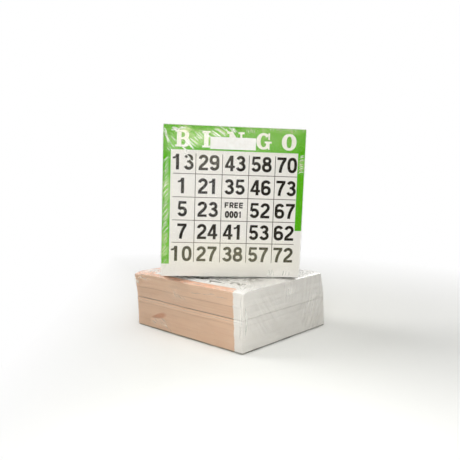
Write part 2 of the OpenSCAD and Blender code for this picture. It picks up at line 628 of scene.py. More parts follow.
@dataclass(frozen=True)
class CreasedFilm(Finish):
    """A fold standing up in the film, white along its length and fading at its ends: painted glint, with the
    film's own whitening.
    """

    name: str = "film_creases"
    colour: Colour = srgb(253, 254, 244)
    roughness: float = 0.2
    gloss: float = 0.8
    breaks: Speckle = Speckle(0.9, 2.0, 0.5)
    break_range: Pair = (0.3, 0.6)
    break_cover: Pair = (0.55, 1.0)

    def build(self, tree: Tree) -> None:
        """Mixes clear film with white, painted glint and the film's own whitening, by the strength kept in
        the mesh, broken up by noise.

        Args:
            tree: the material's tree.
        """
        breaks = self.breaks.at(tree, tree.objects_own()).rise(*self.break_range)
        # painted glint, together with the film's own whitening at the fold
        white = tree.principled({
            "Base Color": self.colour, "Roughness": self.roughness, "Specular IOR Level": self.gloss,
        })
        factor = tree.kept(STRENGTH, "Fac") * breaks.between(*self.break_cover) * tree.lit_through()
        tree.surface(tree.blend(factor, tree.add("ShaderNodeBsdfTransparent"), white))


@dataclass(frozen=True)
class StudioPaper(Finish):
    """Pale studio paper that keeps the shadow near the packs and goes over into the white background."""

    name: str = "studio_paper"
    colour: Colour = srgb(236, 236, 232)
    roughness: float = 0.5
    near: float = 115.0
    far: float = 440.0
    left_near: float = 50.0
    left_far: float = 150.0

    def build(self, tree: Tree) -> None:
        """Mixes matt paper with plain white, which only the camera and mirrors see, by the distance.

        The white comes nearer on the left, where the lamp stands.

        Args:
            tree: the material's tree.
        """
        own = tree.objects_own()
        left = -1 * tree.split(own)[0]
        distance = tree.add("ShaderNodeVectorMath", {"operation": "LENGTH"}, {0: own}, out="Value")
        paper = tree.add("ShaderNodeBsdfDiffuse", None, {"Color": self.colour, "Roughness": self.roughness})
        white = tree.add("ShaderNodeEmission", None, {"Color": WHITE, "Strength": 1.0})
        white_share = distance.rise(self.near, self.far).most(left.rise(self.left_near, self.left_far))
        tree.surface(tree.blend(white_share * tree.seen(), paper, white))


@dataclass
class Shape:
    """A closed mesh in the making: its points and its faces, with the values that its points keep."""

    points: np.ndarray
    quads: np.ndarray
    strength: np.ndarray | None = None

    @staticmethod
    def joined(shapes: list["Shape"]) -> "Shape":
        """Several shapes as one.

        Args:
            shapes: shapes in the same coordinates.

        Returns:
            One shape with the points of all, in order.
        """
        starts = np.cumsum([0] + [len(s.points) for s in shapes[:-1]])
        strengths = [s.strength for s in shapes]
        return Shape(
            np.concatenate([s.points for s in shapes]),
            np.concatenate([s.quads + start for s, start in zip(shapes, starts)]),
            np.concatenate(strengths) if strengths[0] is not None else None,
        )


def copies(quads: np.ndarray, size: int, count: int) -> np.ndarray:
    """The faces of several equal shapes whose points follow each other.

    Args:
        quads: faces of the first shape.
        size: points in one shape.
        count: number of shapes.

    Returns:
        The faces of all of them, each face moved on by size for each shape before its own.
    """
    return (quads[None] + size * np.arange(count)[:, None, None]).reshape(-1, 4)


def rim_of(grid: np.ndarray) -> np.ndarray:
    """The outermost entries of a grid, in the order in which walls go round them.

    Args:
        grid: points or their numbers, columns by rows.

    Returns:
        Those of its rim, anticlockwise from the first column's first row.
    """
    return np.concatenate([grid[:-1, 0], grid[-1, :-1], grid[:0:-1, -1], grid[0, :0:-1]])


def skin_faces(columns: int, rows: int, rings: int) -> np.ndarray:
    """Faces of a closed box skin: an upper and a lower grid, joined at their rims by walls of several rings.

    The points are the upper grid, then the lower grid, each column by column, then the rings between them
    from the highest down. A wall face joins neighbours on one ring with the same two on the next.

    Args:
        columns, rows: points of a grid in its two directions.
        rings: rings of points between the two grids.

    Returns:
        The faces, four points each, seen anticlockwise from outside.
    """
    size = columns * rows
    index = np.arange(size).reshape(columns, rows)
    upper = np.stack([index[:-1, :-1], index[1:, :-1], index[1:, 1:], index[:-1, 1:]], -1).reshape(-1, 4)
    rim = rim_of(index)
    between = 2 * size + np.arange(rings * len(rim)).reshape(rings, len(rim))
    here = np.vstack([rim, between, rim + size])
    after = np.roll(here, -1, axis=1)
    walls = np.stack([here[:-1], here[1:], after[1:], after[:-1]], -1).reshape(-1, 4)
    return np.concatenate([upper, upper[:, ::-1] + size, walls])


def slab(xs: np.ndarray, ys: np.ndarray, low: float, high: float) -> Shape:
    """A flat closed slab over a grid of lines: each point is (x, y, low or high).

    Args:
        xs, ys: the lines of the grid.
        low, high: the two levels.

    Returns:
        The slab.
    """
    x, y = np.meshgrid(xs, ys, indexing="ij")
    levels = [np.stack([x, y, np.full_like(x, level)], -1).reshape(-1, 3) for level in (high, low)]
    return Shape(np.concatenate(levels), skin_faces(len(xs), len(ys), 0))


def flat_profile(cells: int) -> np.ndarray:
    """A flat cross-section, one wide and one high, whose foot and top are cut into cells.

    Args:
        cells: number of cells.

    Returns:
        Its points, anticlockwise, the foot's half first.
    """
    across = np.linspace(-0.5, 0.5, cells + 1)
    foot = np.stack([across, np.zeros_like(across)], -1)
    return np.concatenate([foot, foot[::-1] + [0.0, 1.0]])


def ribbons(
    profile: np.ndarray, paths: np.ndarray, widths: np.ndarray | float, low: float,
    height: np.ndarray | float, closed: bool = False,
) -> Shape:
    """A profile carried along each of several paths.

    At each point of a path the profile stands across the direction from the point before to the point
    after. Its first number times the width goes to the right of the path, and its second times the height
    goes up from low.

    Args:
        profile: an even number of points of the cross-section, anticlockwise, the foot's half first.
        paths: paths by points by (x, y).
        widths: width of each path at each point, or one width.
        low: level of the profile's foot.
        height: height of the profile at each point, or one height.
        closed: whether each path goes on from its last point to its first.

    Returns:
        The ribbons, closed at their ends.
    """
    count, steps = paths.shape[:2]
    if closed:
        ahead, behind = np.roll(paths, -1, axis=1), np.roll(paths, 1, axis=1)
    else:
        ahead = np.concatenate([paths[:, 1:], paths[:, -1:]], axis=1)
        behind = np.concatenate([paths[:, :1], paths[:, :-1]], axis=1)
    along = ahead - behind
    along /= np.linalg.norm(along, axis=2, keepdims=True)
    right = np.stack([along[..., 1], -along[..., 0]], -1)
    widths = np.broadcast_to(widths, (count, steps))
    height = np.broadcast_to(height, (count, steps))
    across = paths[:, :, None] + right[:, :, None] * (widths[:, :, None] * profile[:, 0])[..., None]
    up = low + height[:, :, None] * profile[:, 1]
    points = np.concatenate([across, up[..., None]], -1).reshape(-1, 3)
    size = len(profile)
    ring = np.arange(steps * size).reshape(steps, size)
    here, then = (ring, np.roll(ring, -1, axis=0)) if closed else (ring[:-1], ring[1:])
    after, then_after = np.roll(here, -1, axis=1), np.roll(then, -1, axis=1)
    sides = np.stack([here, then, then_after, after], -1).reshape(-1, 4)
    foot = np.arange(size // 2 - 1)
    cap = np.stack([foot, foot + 1, size - 2 - foot, size - 1 - foot], -1)
    ends = [] if closed else [cap, cap[:, ::-1] + size * (steps - 1)]
    return Shape(points, copies(np.concatenate([sides, *ends]), steps * size, count))


def ripple(
    points: np.ndarray, length: float, seed: int, waves: int = 14, spread: Pair = (0.6, 1.7)
) -> np.ndarray:
    """Smooth seeded ripples: plane sine waves in scattered directions, scaled to about -1 to 1.

    Their sum is divided by the root of their number.

    Args:
        points: places in millimetres, with their coordinates last.
        length: middle wavelength in millimetres.
        seed: seed of the directions, wavelengths and phases.
        waves: number of waves.
        spread: least and greatest wavelength as shares of the middle one.

    Returns:
        One value for each point.
    """
    rng = np.random.default_rng(seed)
    turns = rng.normal(size=(waves, points.shape[-1]))
    turns /= np.linalg.norm(turns, axis=1, keepdims=True)
    turns *= 2 * np.pi / (length * rng.uniform(*spread, (waves, 1)))
    return np.sin(points @ turns.T + rng.uniform(0, 2 * np.pi, waves)).sum(-1) / np.sqrt(waves)


def lines_between(start: float, end: float, step: float) -> np.ndarray:
    """Evenly spaced lines from start to end, at most a step apart."""
    return np.linspace(start, end, max(2, int(np.ceil((end - start) / step)) + 1))


def edge_lines(half: float, fine: float, coarse: float, reach: float) -> np.ndarray:
    """Lines from -half to half that are fine within a reach of the two ends and coarse between.

    Args:
        half: half the distance between the two ends.
        fine, coarse: greatest steps near the ends and between.
        reach: width of each fine part.

    Returns:
        The lines in order.
    """
    ends = lines_between(half - reach, half, fine)
    middle = lines_between(reach - half, half - reach, coarse)
    return np.concatenate([-ends[::-1], middle[1:-1], ends])


@dataclass(frozen=True)
class Card:
    """One card of bingo paper, with the fineness of its grid near its edges and away from them."""

    width: float = 101.6
    height: float = 108.0
    thickness: float = 0.075
    air: float = 0.011
    edge_reach: float = 2.5
    edge_share: float = 0.12
    fine_cell: float = 0.8
    coarse_cell: float = 2.9
    fine_reach: float = 10.4
    least_cell: float = 0.05

    def fade(self, away: np.ndarray, reach: float) -> np.ndarray:
        """Falls from 1 on an edge to 0 at a reach from it, as the square of the share of the way left."""
        return np.clip(1 - np.maximum(away, 0) / reach, 0, 1) ** 2

    def pulled(self, away: np.ndarray, reach: float) -> np.ndarray:
        """Pull at a distance from an edge: a long fade, and a smaller share of a short one at the edge."""
        wide, close = self.fade(away, reach), self.fade(away, self.edge_reach)
        return (1 - self.edge_share) * wide + self.edge_share * close

    def lines(self, half: float) -> np.ndarray:
        """Grid lines from -half to half, fine where the card bends at its edges."""
        return edge_lines(half, self.fine_cell, self.coarse_cell, self.fine_reach)

    def lines_within(self, half: float, start: float, end: float) -> np.ndarray:
        """The card's own grid lines between a start and an end, with these two.

        Args:
            half: half the card's width or height.
            start, end: the two outermost lines.

        Returns:
            The lines in order.
        """
        lines = self.lines(half)
        inner = (lines > start + self.least_cell) & (lines < end - self.least_cell)
        return np.array([start, *lines[inner], end])


@dataclass(frozen=True)
class Stack:
    """How the cards of one pack are counted out in bundles, and how far they stray."""

    card: Card = Card()
    bundles: int = 10
    bundle_cards: int = 50
    lowest_bundle_share: float = 0.5
    parting: float = 0.3
    parting_shares: tuple[float, ...] = (0.1, 0.15, 0.1, 0.15, 0.4, 1.0, 0.15, 0.5, 0.15)
    card_stray: float = 0.08
    stray_turn: float = 137.5
    bundle_stray: float = 0.12
    bundle_shares: tuple[Pair, ...] = (
        (0.2, -0.3), (-0.4, 0.2), (0.5, 0.4), (-0.2, -0.5), (0.6, 0.1),
        (-0.6, 0.3), (0.7, -0.4), (0.3, 0.5), (-0.7, -0.2), (0.1, 0.4),
    )

    @property
    def cards(self) -> int:
        """Number of cards in the pack."""
        return self.bundles * self.bundle_cards

    @property
    def first_cards(self) -> np.ndarray:
        """Number of each bundle's first card, and at the end the number of cards in the pack."""
        lowest = round(self.bundle_cards * self.lowest_bundle_share)
        return np.array([0, *(lowest + self.bundle_cards * np.arange(self.bundles - 1)), self.cards])

    def bundle_of(self, number: np.ndarray) -> np.ndarray:
        """The bundle, counted from 0, that a card belongs to."""
        return np.searchsorted(self.first_cards[1:-1], number, side="right")

    def heights(self) -> np.ndarray:
        """Height of each card above the back: its number times the pitch, plus the partings below its bundle.

        Returns:
            One height for each card.
        """
        number = np.arange(self.cards)
        partings = np.concatenate([[0.0], np.cumsum(self.parting_shares)]) * self.parting
        return number * (self.card.thickness + self.card.air) + partings[self.bundle_of(number)]

    def strays(self) -> np.ndarray:
        """Stray of each card: a step of constant length that turns from card to card, plus its bundle's.

        Returns:
            Two lengths for each card, across it and up it.
        """
        number = np.arange(self.cards)
        angle = np.radians(number * self.stray_turn)
        own = self.card_stray * np.stack([np.cos(angle), np.sin(angle)], -1)
        return own + self.bundle_stray * np.array(self.bundle_shares)[self.bundle_of(number)]

    def seams(self) -> tuple[Pair, ...]:
        """Height of the middle of each parting, and its share of the widest one."""
        middles = self.heights()[self.first_cards[1:-1]] - np.array(self.parting_shares) * self.parting / 2
        return tuple(zip(middles.tolist(), self.parting_shares))

    @property
    def thickness(self) -> float:
        """Thickness of the whole pack of cards."""
        return float(self.heights()[-1] + self.card.thickness)


@dataclass(frozen=True)
class Relief:
    """A place where the film pulls less, by a share that falls off as a bell curve of the distance."""

    x: float
    y: float
    share: float
    reach: float


@dataclass(frozen=True)
class Bend:
    """How far the film pulls the cards' edges down from the printed face, and up from the back."""

    left: float
    right: float
    foot: float
    header: float
    reach: float
    back: float = 0.6
    back_reach: float = 6.0
    power: float = 1.5
    back_power: float = 5.4
    reliefs: tuple[Relief, ...] = ()

    def drop(self, card: Card, x: np.ndarray, y: np.ndarray, share: np.ndarray) -> np.ndarray:
        """How far a point is pulled towards the middle of the pack.

        Each edge's pull falls off with the distance from the edge, and where two edges meet the pull is the
        root of the sum of their squares. The pull grows with the height in the pack, by a power, and the
        back has its own.

        Args:
            card: the card.
            x, y: place on the card.
            share: height in the pack as a share of its thickness.

        Returns:
            The pull in millimetres, negative at the back.
        """
        half_x, half_y = card.width / 2, card.height / 2
        left, right, foot, header = (
            card.pulled(away, self.reach) for away in (half_x + x, half_x - x, half_y + y, half_y - y))
        top = np.hypot(left * self.left + right * self.right, foot * self.foot + header * self.header)
        for relief in self.reliefs:
            away = ((x - relief.x) ** 2 + (y - relief.y) ** 2) / relief.reach**2
            top = top * (1 - relief.share * np.exp(-away))
        nearest = np.minimum(half_x - np.abs(x), half_y - np.abs(y))
        under = self.back * card.fade(nearest, self.back_reach)
        return top * share**self.power - under * (1 - share) ** self.back_power


# A fold's cross-section in shares of its width and its height, and how much painted glint and whitening it
# has at each point
FOLD = np.array([[-0.6, 0.0], [0.6, 0.0], [0.34, 0.8], [-0.34, 1.0]])
FOLD_STRENGTH = np.array([0.1, 0.1, 1.0, 1.0])


@dataclass(frozen=True)
class Creases:
    """A group of like creases in the film on one side of a pack.

    They lie side by side in a row from a start to an end, which are given to the right and up on that side:
    from the middle of the card on the face and the back, and on the other sides from the middle along the
    edge and from the back of the pack up. Each crease differs from the middle one of the group: its place
    along itself and its length, width and strength by shares, its angle by the scatter and its bow by the
    sway.
    """

    side: Side
    start: Pair
    end: Pair
    angle: float
    count: int
    length: float
    width: float = 0.5
    # how white its creases are, as painted glint and whitening
    strength: float = 0.5
    scatter: float = 9.0
    bow: float = 0.0
    sway: float = 0.06
    slip: float = 0.15
    places: Pair = (0.1, 0.9)
    lengths: Pair = (0.6, 1.25)
    widths: Pair = (0.6, 1.3)
    strengths: Pair = (0.65, 1.15)
    taper: float = 0.6
    least_width: float = 0.05
    steps: int = 11

    def paths(self, seed: int) -> tuple[np.ndarray, np.ndarray, np.ndarray]:
        """Lays the creases out.

        They share out the row, each moved, turned and stretched a little at random, and each bends as half a
        sine wave across its own direction. Width and strength fall off to both ends as a power of a sine.

        Args:
            seed: seed of the random parts.

        Returns:
            The paths, their widths and their strengths.
        """
        rng = np.random.default_rng(seed)
        turn = np.radians(self.angle + rng.normal(0, self.scatter, self.count))
        along = np.stack([np.cos(turn), np.sin(turn)], -1)
        across = np.stack([-along[:, 1], along[:, 0]], -1)
        place = (np.arange(self.count) + rng.uniform(*self.places, self.count)) / self.count
        start, end = np.array(self.start), np.array(self.end)
        share = np.linspace(-1, 1, self.steps)
        length = self.length * rng.uniform(*self.lengths, self.count)
        slip = along * rng.uniform(-self.slip, self.slip, (self.count, 1)) * self.length
        middle = start + place[:, None] * (end - start) + slip
        bow = rng.normal(self.bow, self.sway, self.count) * length
        hump = np.cos(share * np.pi / 2)
        paths = middle[:, None] + along[:, None] * (share[:, None] * length[:, None, None] / 2)
        paths = paths + across[:, None] * (hump[:, None] * bow[:, None, None])
        taper = hump**self.taper
        widths = self.width * rng.uniform(*self.widths, (self.count, 1)) * np.maximum(taper, self.least_width)
        strengths = self.strength * rng.uniform(*self.strengths, (self.count, 1)) * taper
        return paths, widths, np.clip(strengths, 0, 1)


def arc(x: float, y: float, rx: float, ry: float, start: float, end: float, steps: int = 15) -> np.ndarray:
    """Points of an elliptical arc.

    Args:
        x, y: its middle.
        rx, ry: its half width and half height.
        start, end: its angles in degrees, anticlockwise from the right.
        steps: number of points.

    Returns:
        The points in order.
    """
    angle = np.radians(np.linspace(start, end, steps))
    return np.stack([x + rx * np.cos(angle), y + ry * np.sin(angle)], -1)


@dataclass(frozen=True)
class Stroke:
    """One stroke of a figure or letter, in shares of its height."""

    path: np.ndarray
    width: np.ndarray | float
    closed: bool = False

    def drawn(self, across: float, up: float, step: float = 0.7) -> tuple[np.ndarray, np.ndarray]:
        """The stroke at its real size.

        Points are added along it, so that it follows the bend of the card.

        Args:
            across, up: the scales of the two directions.
            step: largest distance between two points.

        Returns:
            Its points, and its widths at them.
        """
        path = self.path * [across, up]
        widths = np.broadcast_to(self.width, len(path)) * up
        if self.closed:
            path, widths = np.vstack([path, path[:1]]), np.append(widths, widths[0])
        length = np.concatenate([[0.0], np.cumsum(np.linalg.norm(np.diff(path, axis=0), axis=1))])
        even = np.linspace(0, length[-1], int(np.ceil(length[-1] / step)) + 1)
        places = np.unique(np.round(np.concatenate([length, even]), 3))
        places = places[:-1] if self.closed else places
        x, y, wide = (np.interp(places, length, values) for values in (path[:, 0], path[:, 1], widths))
        return np.stack([x, y], -1), wide


def line(*points: Pair, width: float) -> Stroke:
    """An open stroke of one width through points in order."""
    return Stroke(np.array(points), width)


def loop(
    x: float, y: float, rx: float, ry: float, width: float, square: float = 0.86, thin: float = 1.0,
    swell: float = 1.5, steps: int = 36,
) -> Stroke:
    """A closed stroke: an ellipse drawn out towards its corners.

    Its points are the ellipse's cosine and sine, each raised to a power but keeping its sign. The width goes
    from full at the sides to a thin share of it at the top and foot, by a power of the cosine.

    Args:
        x, y: its middle.
        rx, ry: half width and half height of its middle line.
        width: width at the sides.
        square: power of the points.
        thin: share of the width that is left at the top and foot.
        swell: power of the width.
        steps: number of points.

    Returns:
        The stroke.
    """
    angle = np.linspace(0, 2 * np.pi, steps, endpoint=False)
    round_path = np.stack([np.cos(angle), np.sin(angle)], -1)
    path = [x, y] + [rx, ry] * (np.sign(round_path) * np.abs(round_path) ** square)
    return Stroke(path, width * (thin + (1 - thin) * np.abs(np.cos(angle)) ** swell), closed=True)


def swelling(
    x: float, y: float, rx: float, ry: float, start: float, end: float, thick: float, thin: float,
    swell: float = 1.3, steps: int = 21,
) -> Stroke:
    """An arc whose width goes from thick at its sides to thin at its top and foot, by a power of the cosine.

    Args:
        x, y: its middle.
        rx, ry: half width and half height of its middle line.
        start, end: its angles in degrees, anticlockwise from the right.
        thick, thin: its greatest and its least width.
        swell: the power.
        steps: number of points.

    Returns:
        The stroke.
    """
    cos = np.cos(np.radians(np.linspace(start, end, steps)))
    return Stroke(arc(x, y, rx, ry, start, end, steps), thin + (thick - thin) * np.abs(cos) ** swell)


@dataclass(frozen=True)
class BlockFigures:
    """Bold block figures. Their points are given in shares of their height."""

    middle: float = 0.32
    weight: float = 0.19
    half: float = 0.2275

    def strokes(self, figure: str) -> list[Stroke]:
        """The strokes of one figure."""
        return getattr(self, f"figure_{figure}")()

    def figure_0(self) -> list[Stroke]:
        """A tall loop."""
        return [loop(self.middle, 0.5, self.half, 0.41, self.weight, square=0.8)]

    def figure_1(self) -> list[Stroke]:
        """A stem with a flag."""
        flag = line((0.0, 0.755), (0.12, 0.765), (0.21, 0.82), (0.26, 0.93), width=0.12)
        return [line((0.31, 0.0), (0.31, 1.0), width=0.2), flag]

    def figure_2(self) -> list[Stroke]:
        """A hook that runs into a slant, over a foot bar."""
        slant = (0.4, 0.455), (0.26, 0.335), (0.145, 0.22), (0.105, 0.1)
        return [
            line(*arc(self.middle, 0.705, self.half - 0.012, 0.205, 175, -32), *slant, width=self.weight),
            line((0.015, 0.085), (0.62, 0.085), width=0.17),
        ]

    def figure_3(self) -> list[Stroke]:
        """Two open bowls and the tongue between them."""
        return [
            Stroke(arc(0.31, 0.725, 0.197, 0.184, 165, -78), self.weight),
            Stroke(arc(self.middle, 0.3, self.half, 0.208, 78, -165), self.weight),
            line((0.215, 0.53), (0.37, 0.53), width=0.14),
        ]

    def figure_4(self) -> list[Stroke]:
        """A stem, a slant and a bar."""
        return [
            line((0.445, 0.0), (0.445, 1.0), width=self.weight),
            line((0.395, 0.955), (0.075, 0.3), width=0.16),
            line((0.0, 0.28), (0.645, 0.28), width=0.155),
        ]

    def figure_5(self) -> list[Stroke]:
        """A top bar, a back and a bowl."""
        return [
            line((0.11, 0.915), (0.585, 0.915), width=0.17),
            line((0.155, 0.98), (0.11, 0.47), width=0.15),
            Stroke(arc(0.315, 0.325, self.half, 0.233, 142, -160), self.weight),
        ]

    def figure_6(self) -> list[Stroke]:
        """A bowl with a curved back."""
        foot = (0.0925, 0.52), (0.0925, 0.34)
        return [
            loop(self.middle, 0.315, self.half, 0.2225, self.weight),
            line(*arc(self.middle, 0.7, self.half, 0.208, 22, 172), *foot, width=self.weight),
        ]

    def figure_7(self) -> list[Stroke]:
        """A top bar and a curved leg."""
        return [
            line((0.025, 0.912), (0.63, 0.912), width=0.175),
            line((0.535, 0.86), (0.42, 0.67), (0.32, 0.44), (0.26, 0.2), (0.24, 0.0), width=0.19),
        ]

    def figure_8(self) -> list[Stroke]:
        """Two bowls."""
        return [
            loop(self.middle, 0.735, 0.192, 0.1725, 0.18),
            loop(self.middle, 0.3, self.half, 0.2075, self.weight),
        ]

    def figure_9(self) -> list[Stroke]:
        """A 6 turned over."""
        return [Stroke([2 * self.middle, 1.0] - six.path, six.width, six.closed) for six in self.figure_6()]


@dataclass(frozen=True)
class PlainLetters:
    """Plain capitals for the free space. Their points are given in shares of their height."""

    weight: float = 0.25

    def strokes(self, letter: str) -> list[Stroke]:
        """A stem, with a bowl and a leg for an R, and with a top bar and lower bars for the others.

        Args:
            letter: R, F or E.

        Returns:
            The strokes.
        """
        if letter == "R":
            bowl = [(0.1, 0.925), *arc(0.4, 0.7, 0.22, 0.225, 90, -90), (0.1, 0.475)]
            parts = [bowl, [(0.36, 0.46), (0.64, 0.0)]]
        else:
            bars = {"F": (0.5,), "E": (0.5, 0.075)}[letter]
            parts = [[(0.08, 0.9), (0.68, 0.9)], *([(0.08, bar), (0.62, bar)] for bar in bars)]
        return [line(*part, width=self.weight) for part in ([(0.08, 0.0), (0.08, 1.0)], *parts)]


@dataclass(frozen=True)
class SlabLetters:
    """Heavy capitals with slab serifs for the heads of the columns.

    Their points are given in shares of their height.
    """

    heavy: float = 0.27
    serif: float = 0.12
    levels: Pair = (0.94, 0.06)

    def serifs(self, start: float, end: float) -> list[Stroke]:
        """Serifs from start to end, at the top and the foot."""
        return [line((start, level), (end, level), width=self.serif) for level in self.levels]

    def strokes(self, letter: str) -> list[Stroke]:
        """The strokes of one letter."""
        return getattr(self, f"letter_{letter}")()

    def letter_B(self) -> list[Stroke]:
        """A stem with serifs, two bowls and the joins between them.

        Returns:
            The strokes.
        """
        bowls = [swelling(0.44, 0.72, 0.27, 0.225, 90, -90, 0.25, 0.12),
                 swelling(0.46, 0.285, 0.3, 0.23, 90, -90, 0.27, 0.12)]
        joins = [line((0.25, level), (0.47, level), width=0.12) for level in (0.945, 0.5, 0.055)]
        return [line((0.235, 0.0), (0.235, 1.0), width=self.heavy), *bowls, *joins, *self.serifs(0.0, 0.4)]

    def letter_I(self) -> list[Stroke]:
        """A stem with serifs."""
        return [line((0.24, 0.0), (0.24, 1.0), width=self.heavy), *self.serifs(0.0, 0.48)]

    def letter_N(self) -> list[Stroke]:
        """Two thin stems with serifs and a heavy slant.

        Returns:
            The strokes.
        """
        stems = [line((x, 0.0), (x, 1.0), width=0.13) for x in (0.2, 0.86)]
        top, foot = self.levels
        ends = ((0.0, 0.36, top), (0.68, 1.06, top), (0.0, 0.4, foot))
        serifs = [line((start, level), (end, level), width=self.serif) for start, end, level in ends]
        return [*stems, *serifs, line((0.2, 0.98), (0.86, 0.02), width=0.24)]

    def letter_G(self) -> list[Stroke]:
        """An open ring with a spur at the top, and a beard with a serif bar over it."""
        return [
            swelling(0.46, 0.5, 0.33, 0.43, 42, 322, 0.27, 0.14),
            line((0.79, 0.6), (0.79, 1.0), width=0.1),
            line((0.72, 0.08), (0.72, 0.44), width=0.22),
            line((0.52, 0.44), (0.96, 0.44), width=0.11),
            line((0.79, 0.0), (0.79, 0.3), width=0.09),
        ]

    def letter_O(self) -> list[Stroke]:
        """A closed ring."""
        return [loop(0.46, 0.5, 0.31, 0.43, 0.3, square=0.92, thin=0.5)]


@dataclass(frozen=True)
class Lettering:
    """One kind of type on a card: its alphabet, its height and the step from one character to the next.

    A character starts at the middle of its step, moved by the shift, and is drawn narrower by a share.
    """

    alphabet: BlockFigures | PlainLetters | SlabLetters
    height: float
    pitch: float = 0.0
    shift: float = 0.0
    narrow: float = 1.0


@dataclass(frozen=True)
class CardPrint:
    """The print of a card: its bands, ruled lines, numbers and column heads.

    Places are measured from the card's left and header edges, to the right and down. A number of 0 is the
    free square.
    """

    numbers: tuple[tuple[int, ...], ...]
    serial: str
    header: float = 17.1
    left_band: float = 5.4
    left_end: float = 99.0
    right_band: float = 5.0
    right_end: float = 73.3
    rule_width: float = 0.5
    rule_steps: int = 110
    upright_rules: tuple[float, ...] = (23.1, 42.1, 61.2, 80.2)
    upright_span: Pair = (19.6, 97.5)
    level_rules: tuple[float, ...] = (33.9, 50.5, 67.1, 83.3)
    level_span: Pair = (7.2, 96.4)
    column_middles: tuple[float, ...] = (14.2, 32.4, 51.3, 70.2, 88.7)
    row_feet: tuple[float, ...] = (31.2, 47.9, 64.5, 80.6, 96.9)
    figure_type: Lettering = Lettering(BlockFigures(), 11.0, 7.8, -3.52)
    heads: str = "BINGO"
    head_middles: tuple[float, ...] = (12.7, 30.1, 51.0, 71.3, 88.7)
    head_foot: float = 15.1
    head_type: Lettering = Lettering(SlabLetters(), 11.6)
    free_word: str = "FREE"
    free_foot: float = 57.5
    free_type: Lettering = Lettering(PlainLetters(), 3.9, 3.5, -1.35)
    serial_foot: float = 64.6
    serial_type: Lettering = Lettering(BlockFigures(weight=0.28), 4.6, 3.2, -1.3, 0.86)
    trim: float = 0.02
    ink: float = 0.012
    layer: float = 0.0008
    cell: float = 0.8

    def on_card(self, card: Card, shapes: list[Shape]) -> Shape:
        """Joins shapes whose places are measured from the left and header edges.

        Args:
            card: the card.
            shapes: the shapes.

        Returns:
            One shape in the pack's own coordinates, but from the card's upper side up.
        """
        shape = Shape.joined(shapes)
        shape.points[:, :2] += [-card.width / 2, card.height / 2]
        return shape

    def bands(self, card: Card) -> Shape:
        """The coloured header and side bands, as thin slabs that meet edge to edge.

        Args:
            card: the card.

        Returns:
            The bands in the pack's own coordinates, but from the card's upper side up.
        """
        half_x, half_y = card.width / 2 - self.trim, card.height / 2 - self.trim
        foot = card.height / 2 - self.header
        left, right = self.left_band - card.width / 2, card.width / 2 - self.right_band
        boxes = (
            (-half_x, half_x, foot, half_y),
            (-half_x, left, card.height / 2 - self.left_end, foot),
            (right, half_x, card.height / 2 - self.right_end, foot),
        )
        grids = [
            (card.lines_within(card.width / 2, *box[:2]), card.lines_within(card.height / 2, *box[2:]))
            for box in boxes
        ]
        return Shape.joined([slab(xs, ys, 0, self.ink) for xs, ys in grids])

    def rules(self, card: Card) -> Shape:
        """The ruled lines between the columns and the rows, the level ones a thin layer higher.

        Args:
            card: the card.

        Returns:
            The lines in the pack's own coordinates, but from the card's upper side up.
        """
        share = np.linspace(0, 1, self.rule_steps)
        down, across = (start + share * (end - start) for start, end in (self.upright_span, self.level_span))
        upright = np.stack([np.stack([np.full_like(down, x), -down], -1) for x in self.upright_rules])
        level = np.stack([np.stack([across, np.full_like(across, -y)], -1) for y in self.level_rules])
        return self.on_card(card, [
            ribbons(flat_profile(1), upright, self.rule_width, 0.0, self.ink),
            ribbons(flat_profile(1), level, self.rule_width, 0.0, self.ink + self.layer),
        ])

    def written(
        self, text: str, middle: float, foot: float, kind: Lettering, low: float = 0.0
    ) -> list[Shape]:
        """Sets characters side by side.

        Each stroke is a flat ribbon, a thin layer above the one before, so that strokes which cross don't
        share a surface.

        Args:
            text: the characters.
            middle: place of their middle.
            foot: place of their foot, measured down from the header edge.
            kind: their type.
            low: level of the surface that they are printed on.

        Returns:
            One shape for each stroke.
        """
        shapes = []
        for place, character in enumerate(text):
            left = middle + (place - (len(text) - 1) / 2) * kind.pitch + kind.shift
            for number, stroke in enumerate(kind.alphabet.strokes(character)):
                path, widths = stroke.drawn(kind.height * kind.narrow, kind.height)
                profile = flat_profile(int(np.ceil(widths.max() / self.cell)))
                top = self.ink + self.layer * (number + 1)
                shapes.append(ribbons(profile, path[None] + [left, -foot], widths, low, top, stroke.closed))
        return shapes

    def figures(self, card: Card) -> Shape:
        """The numbers in the squares, and the word and the serial number in the free square.

        Args:
            card: the card.

        Returns:
            The figures in the pack's own coordinates, but from the card's upper side up.
        """
        parts = []
        for middle, column in zip(self.column_middles, zip(*self.numbers)):
            for foot, number in zip(self.row_feet, column):
                parts += self.written(str(number or ""), middle, foot, self.figure_type)
        middle = self.column_middles[len(self.column_middles) // 2]
        parts += self.written(self.free_word, middle, self.free_foot, self.free_type)
        parts += self.written(self.serial, middle, self.serial_foot, self.serial_type)
        return self.on_card(card, parts)

    def column_heads(self, card: Card) -> Shape:
        """The heads of the columns, printed over the header band, each set by the middle of its reach.

        Args:
            card: the card.

        Returns:
            The heads in the pack's own coordinates, but from the card's upper side up.
        """
        kind, parts = self.head_type, []
        for letter, middle in zip(self.heads, self.head_middles):
            reach = max(float(np.max(stroke.path[:, 0])) for stroke in kind.alphabet.strokes(letter))
            parts += self.written(letter, middle - reach * kind.height / 2, self.head_foot, kind, self.ink)
        return self.on_card(card, parts)


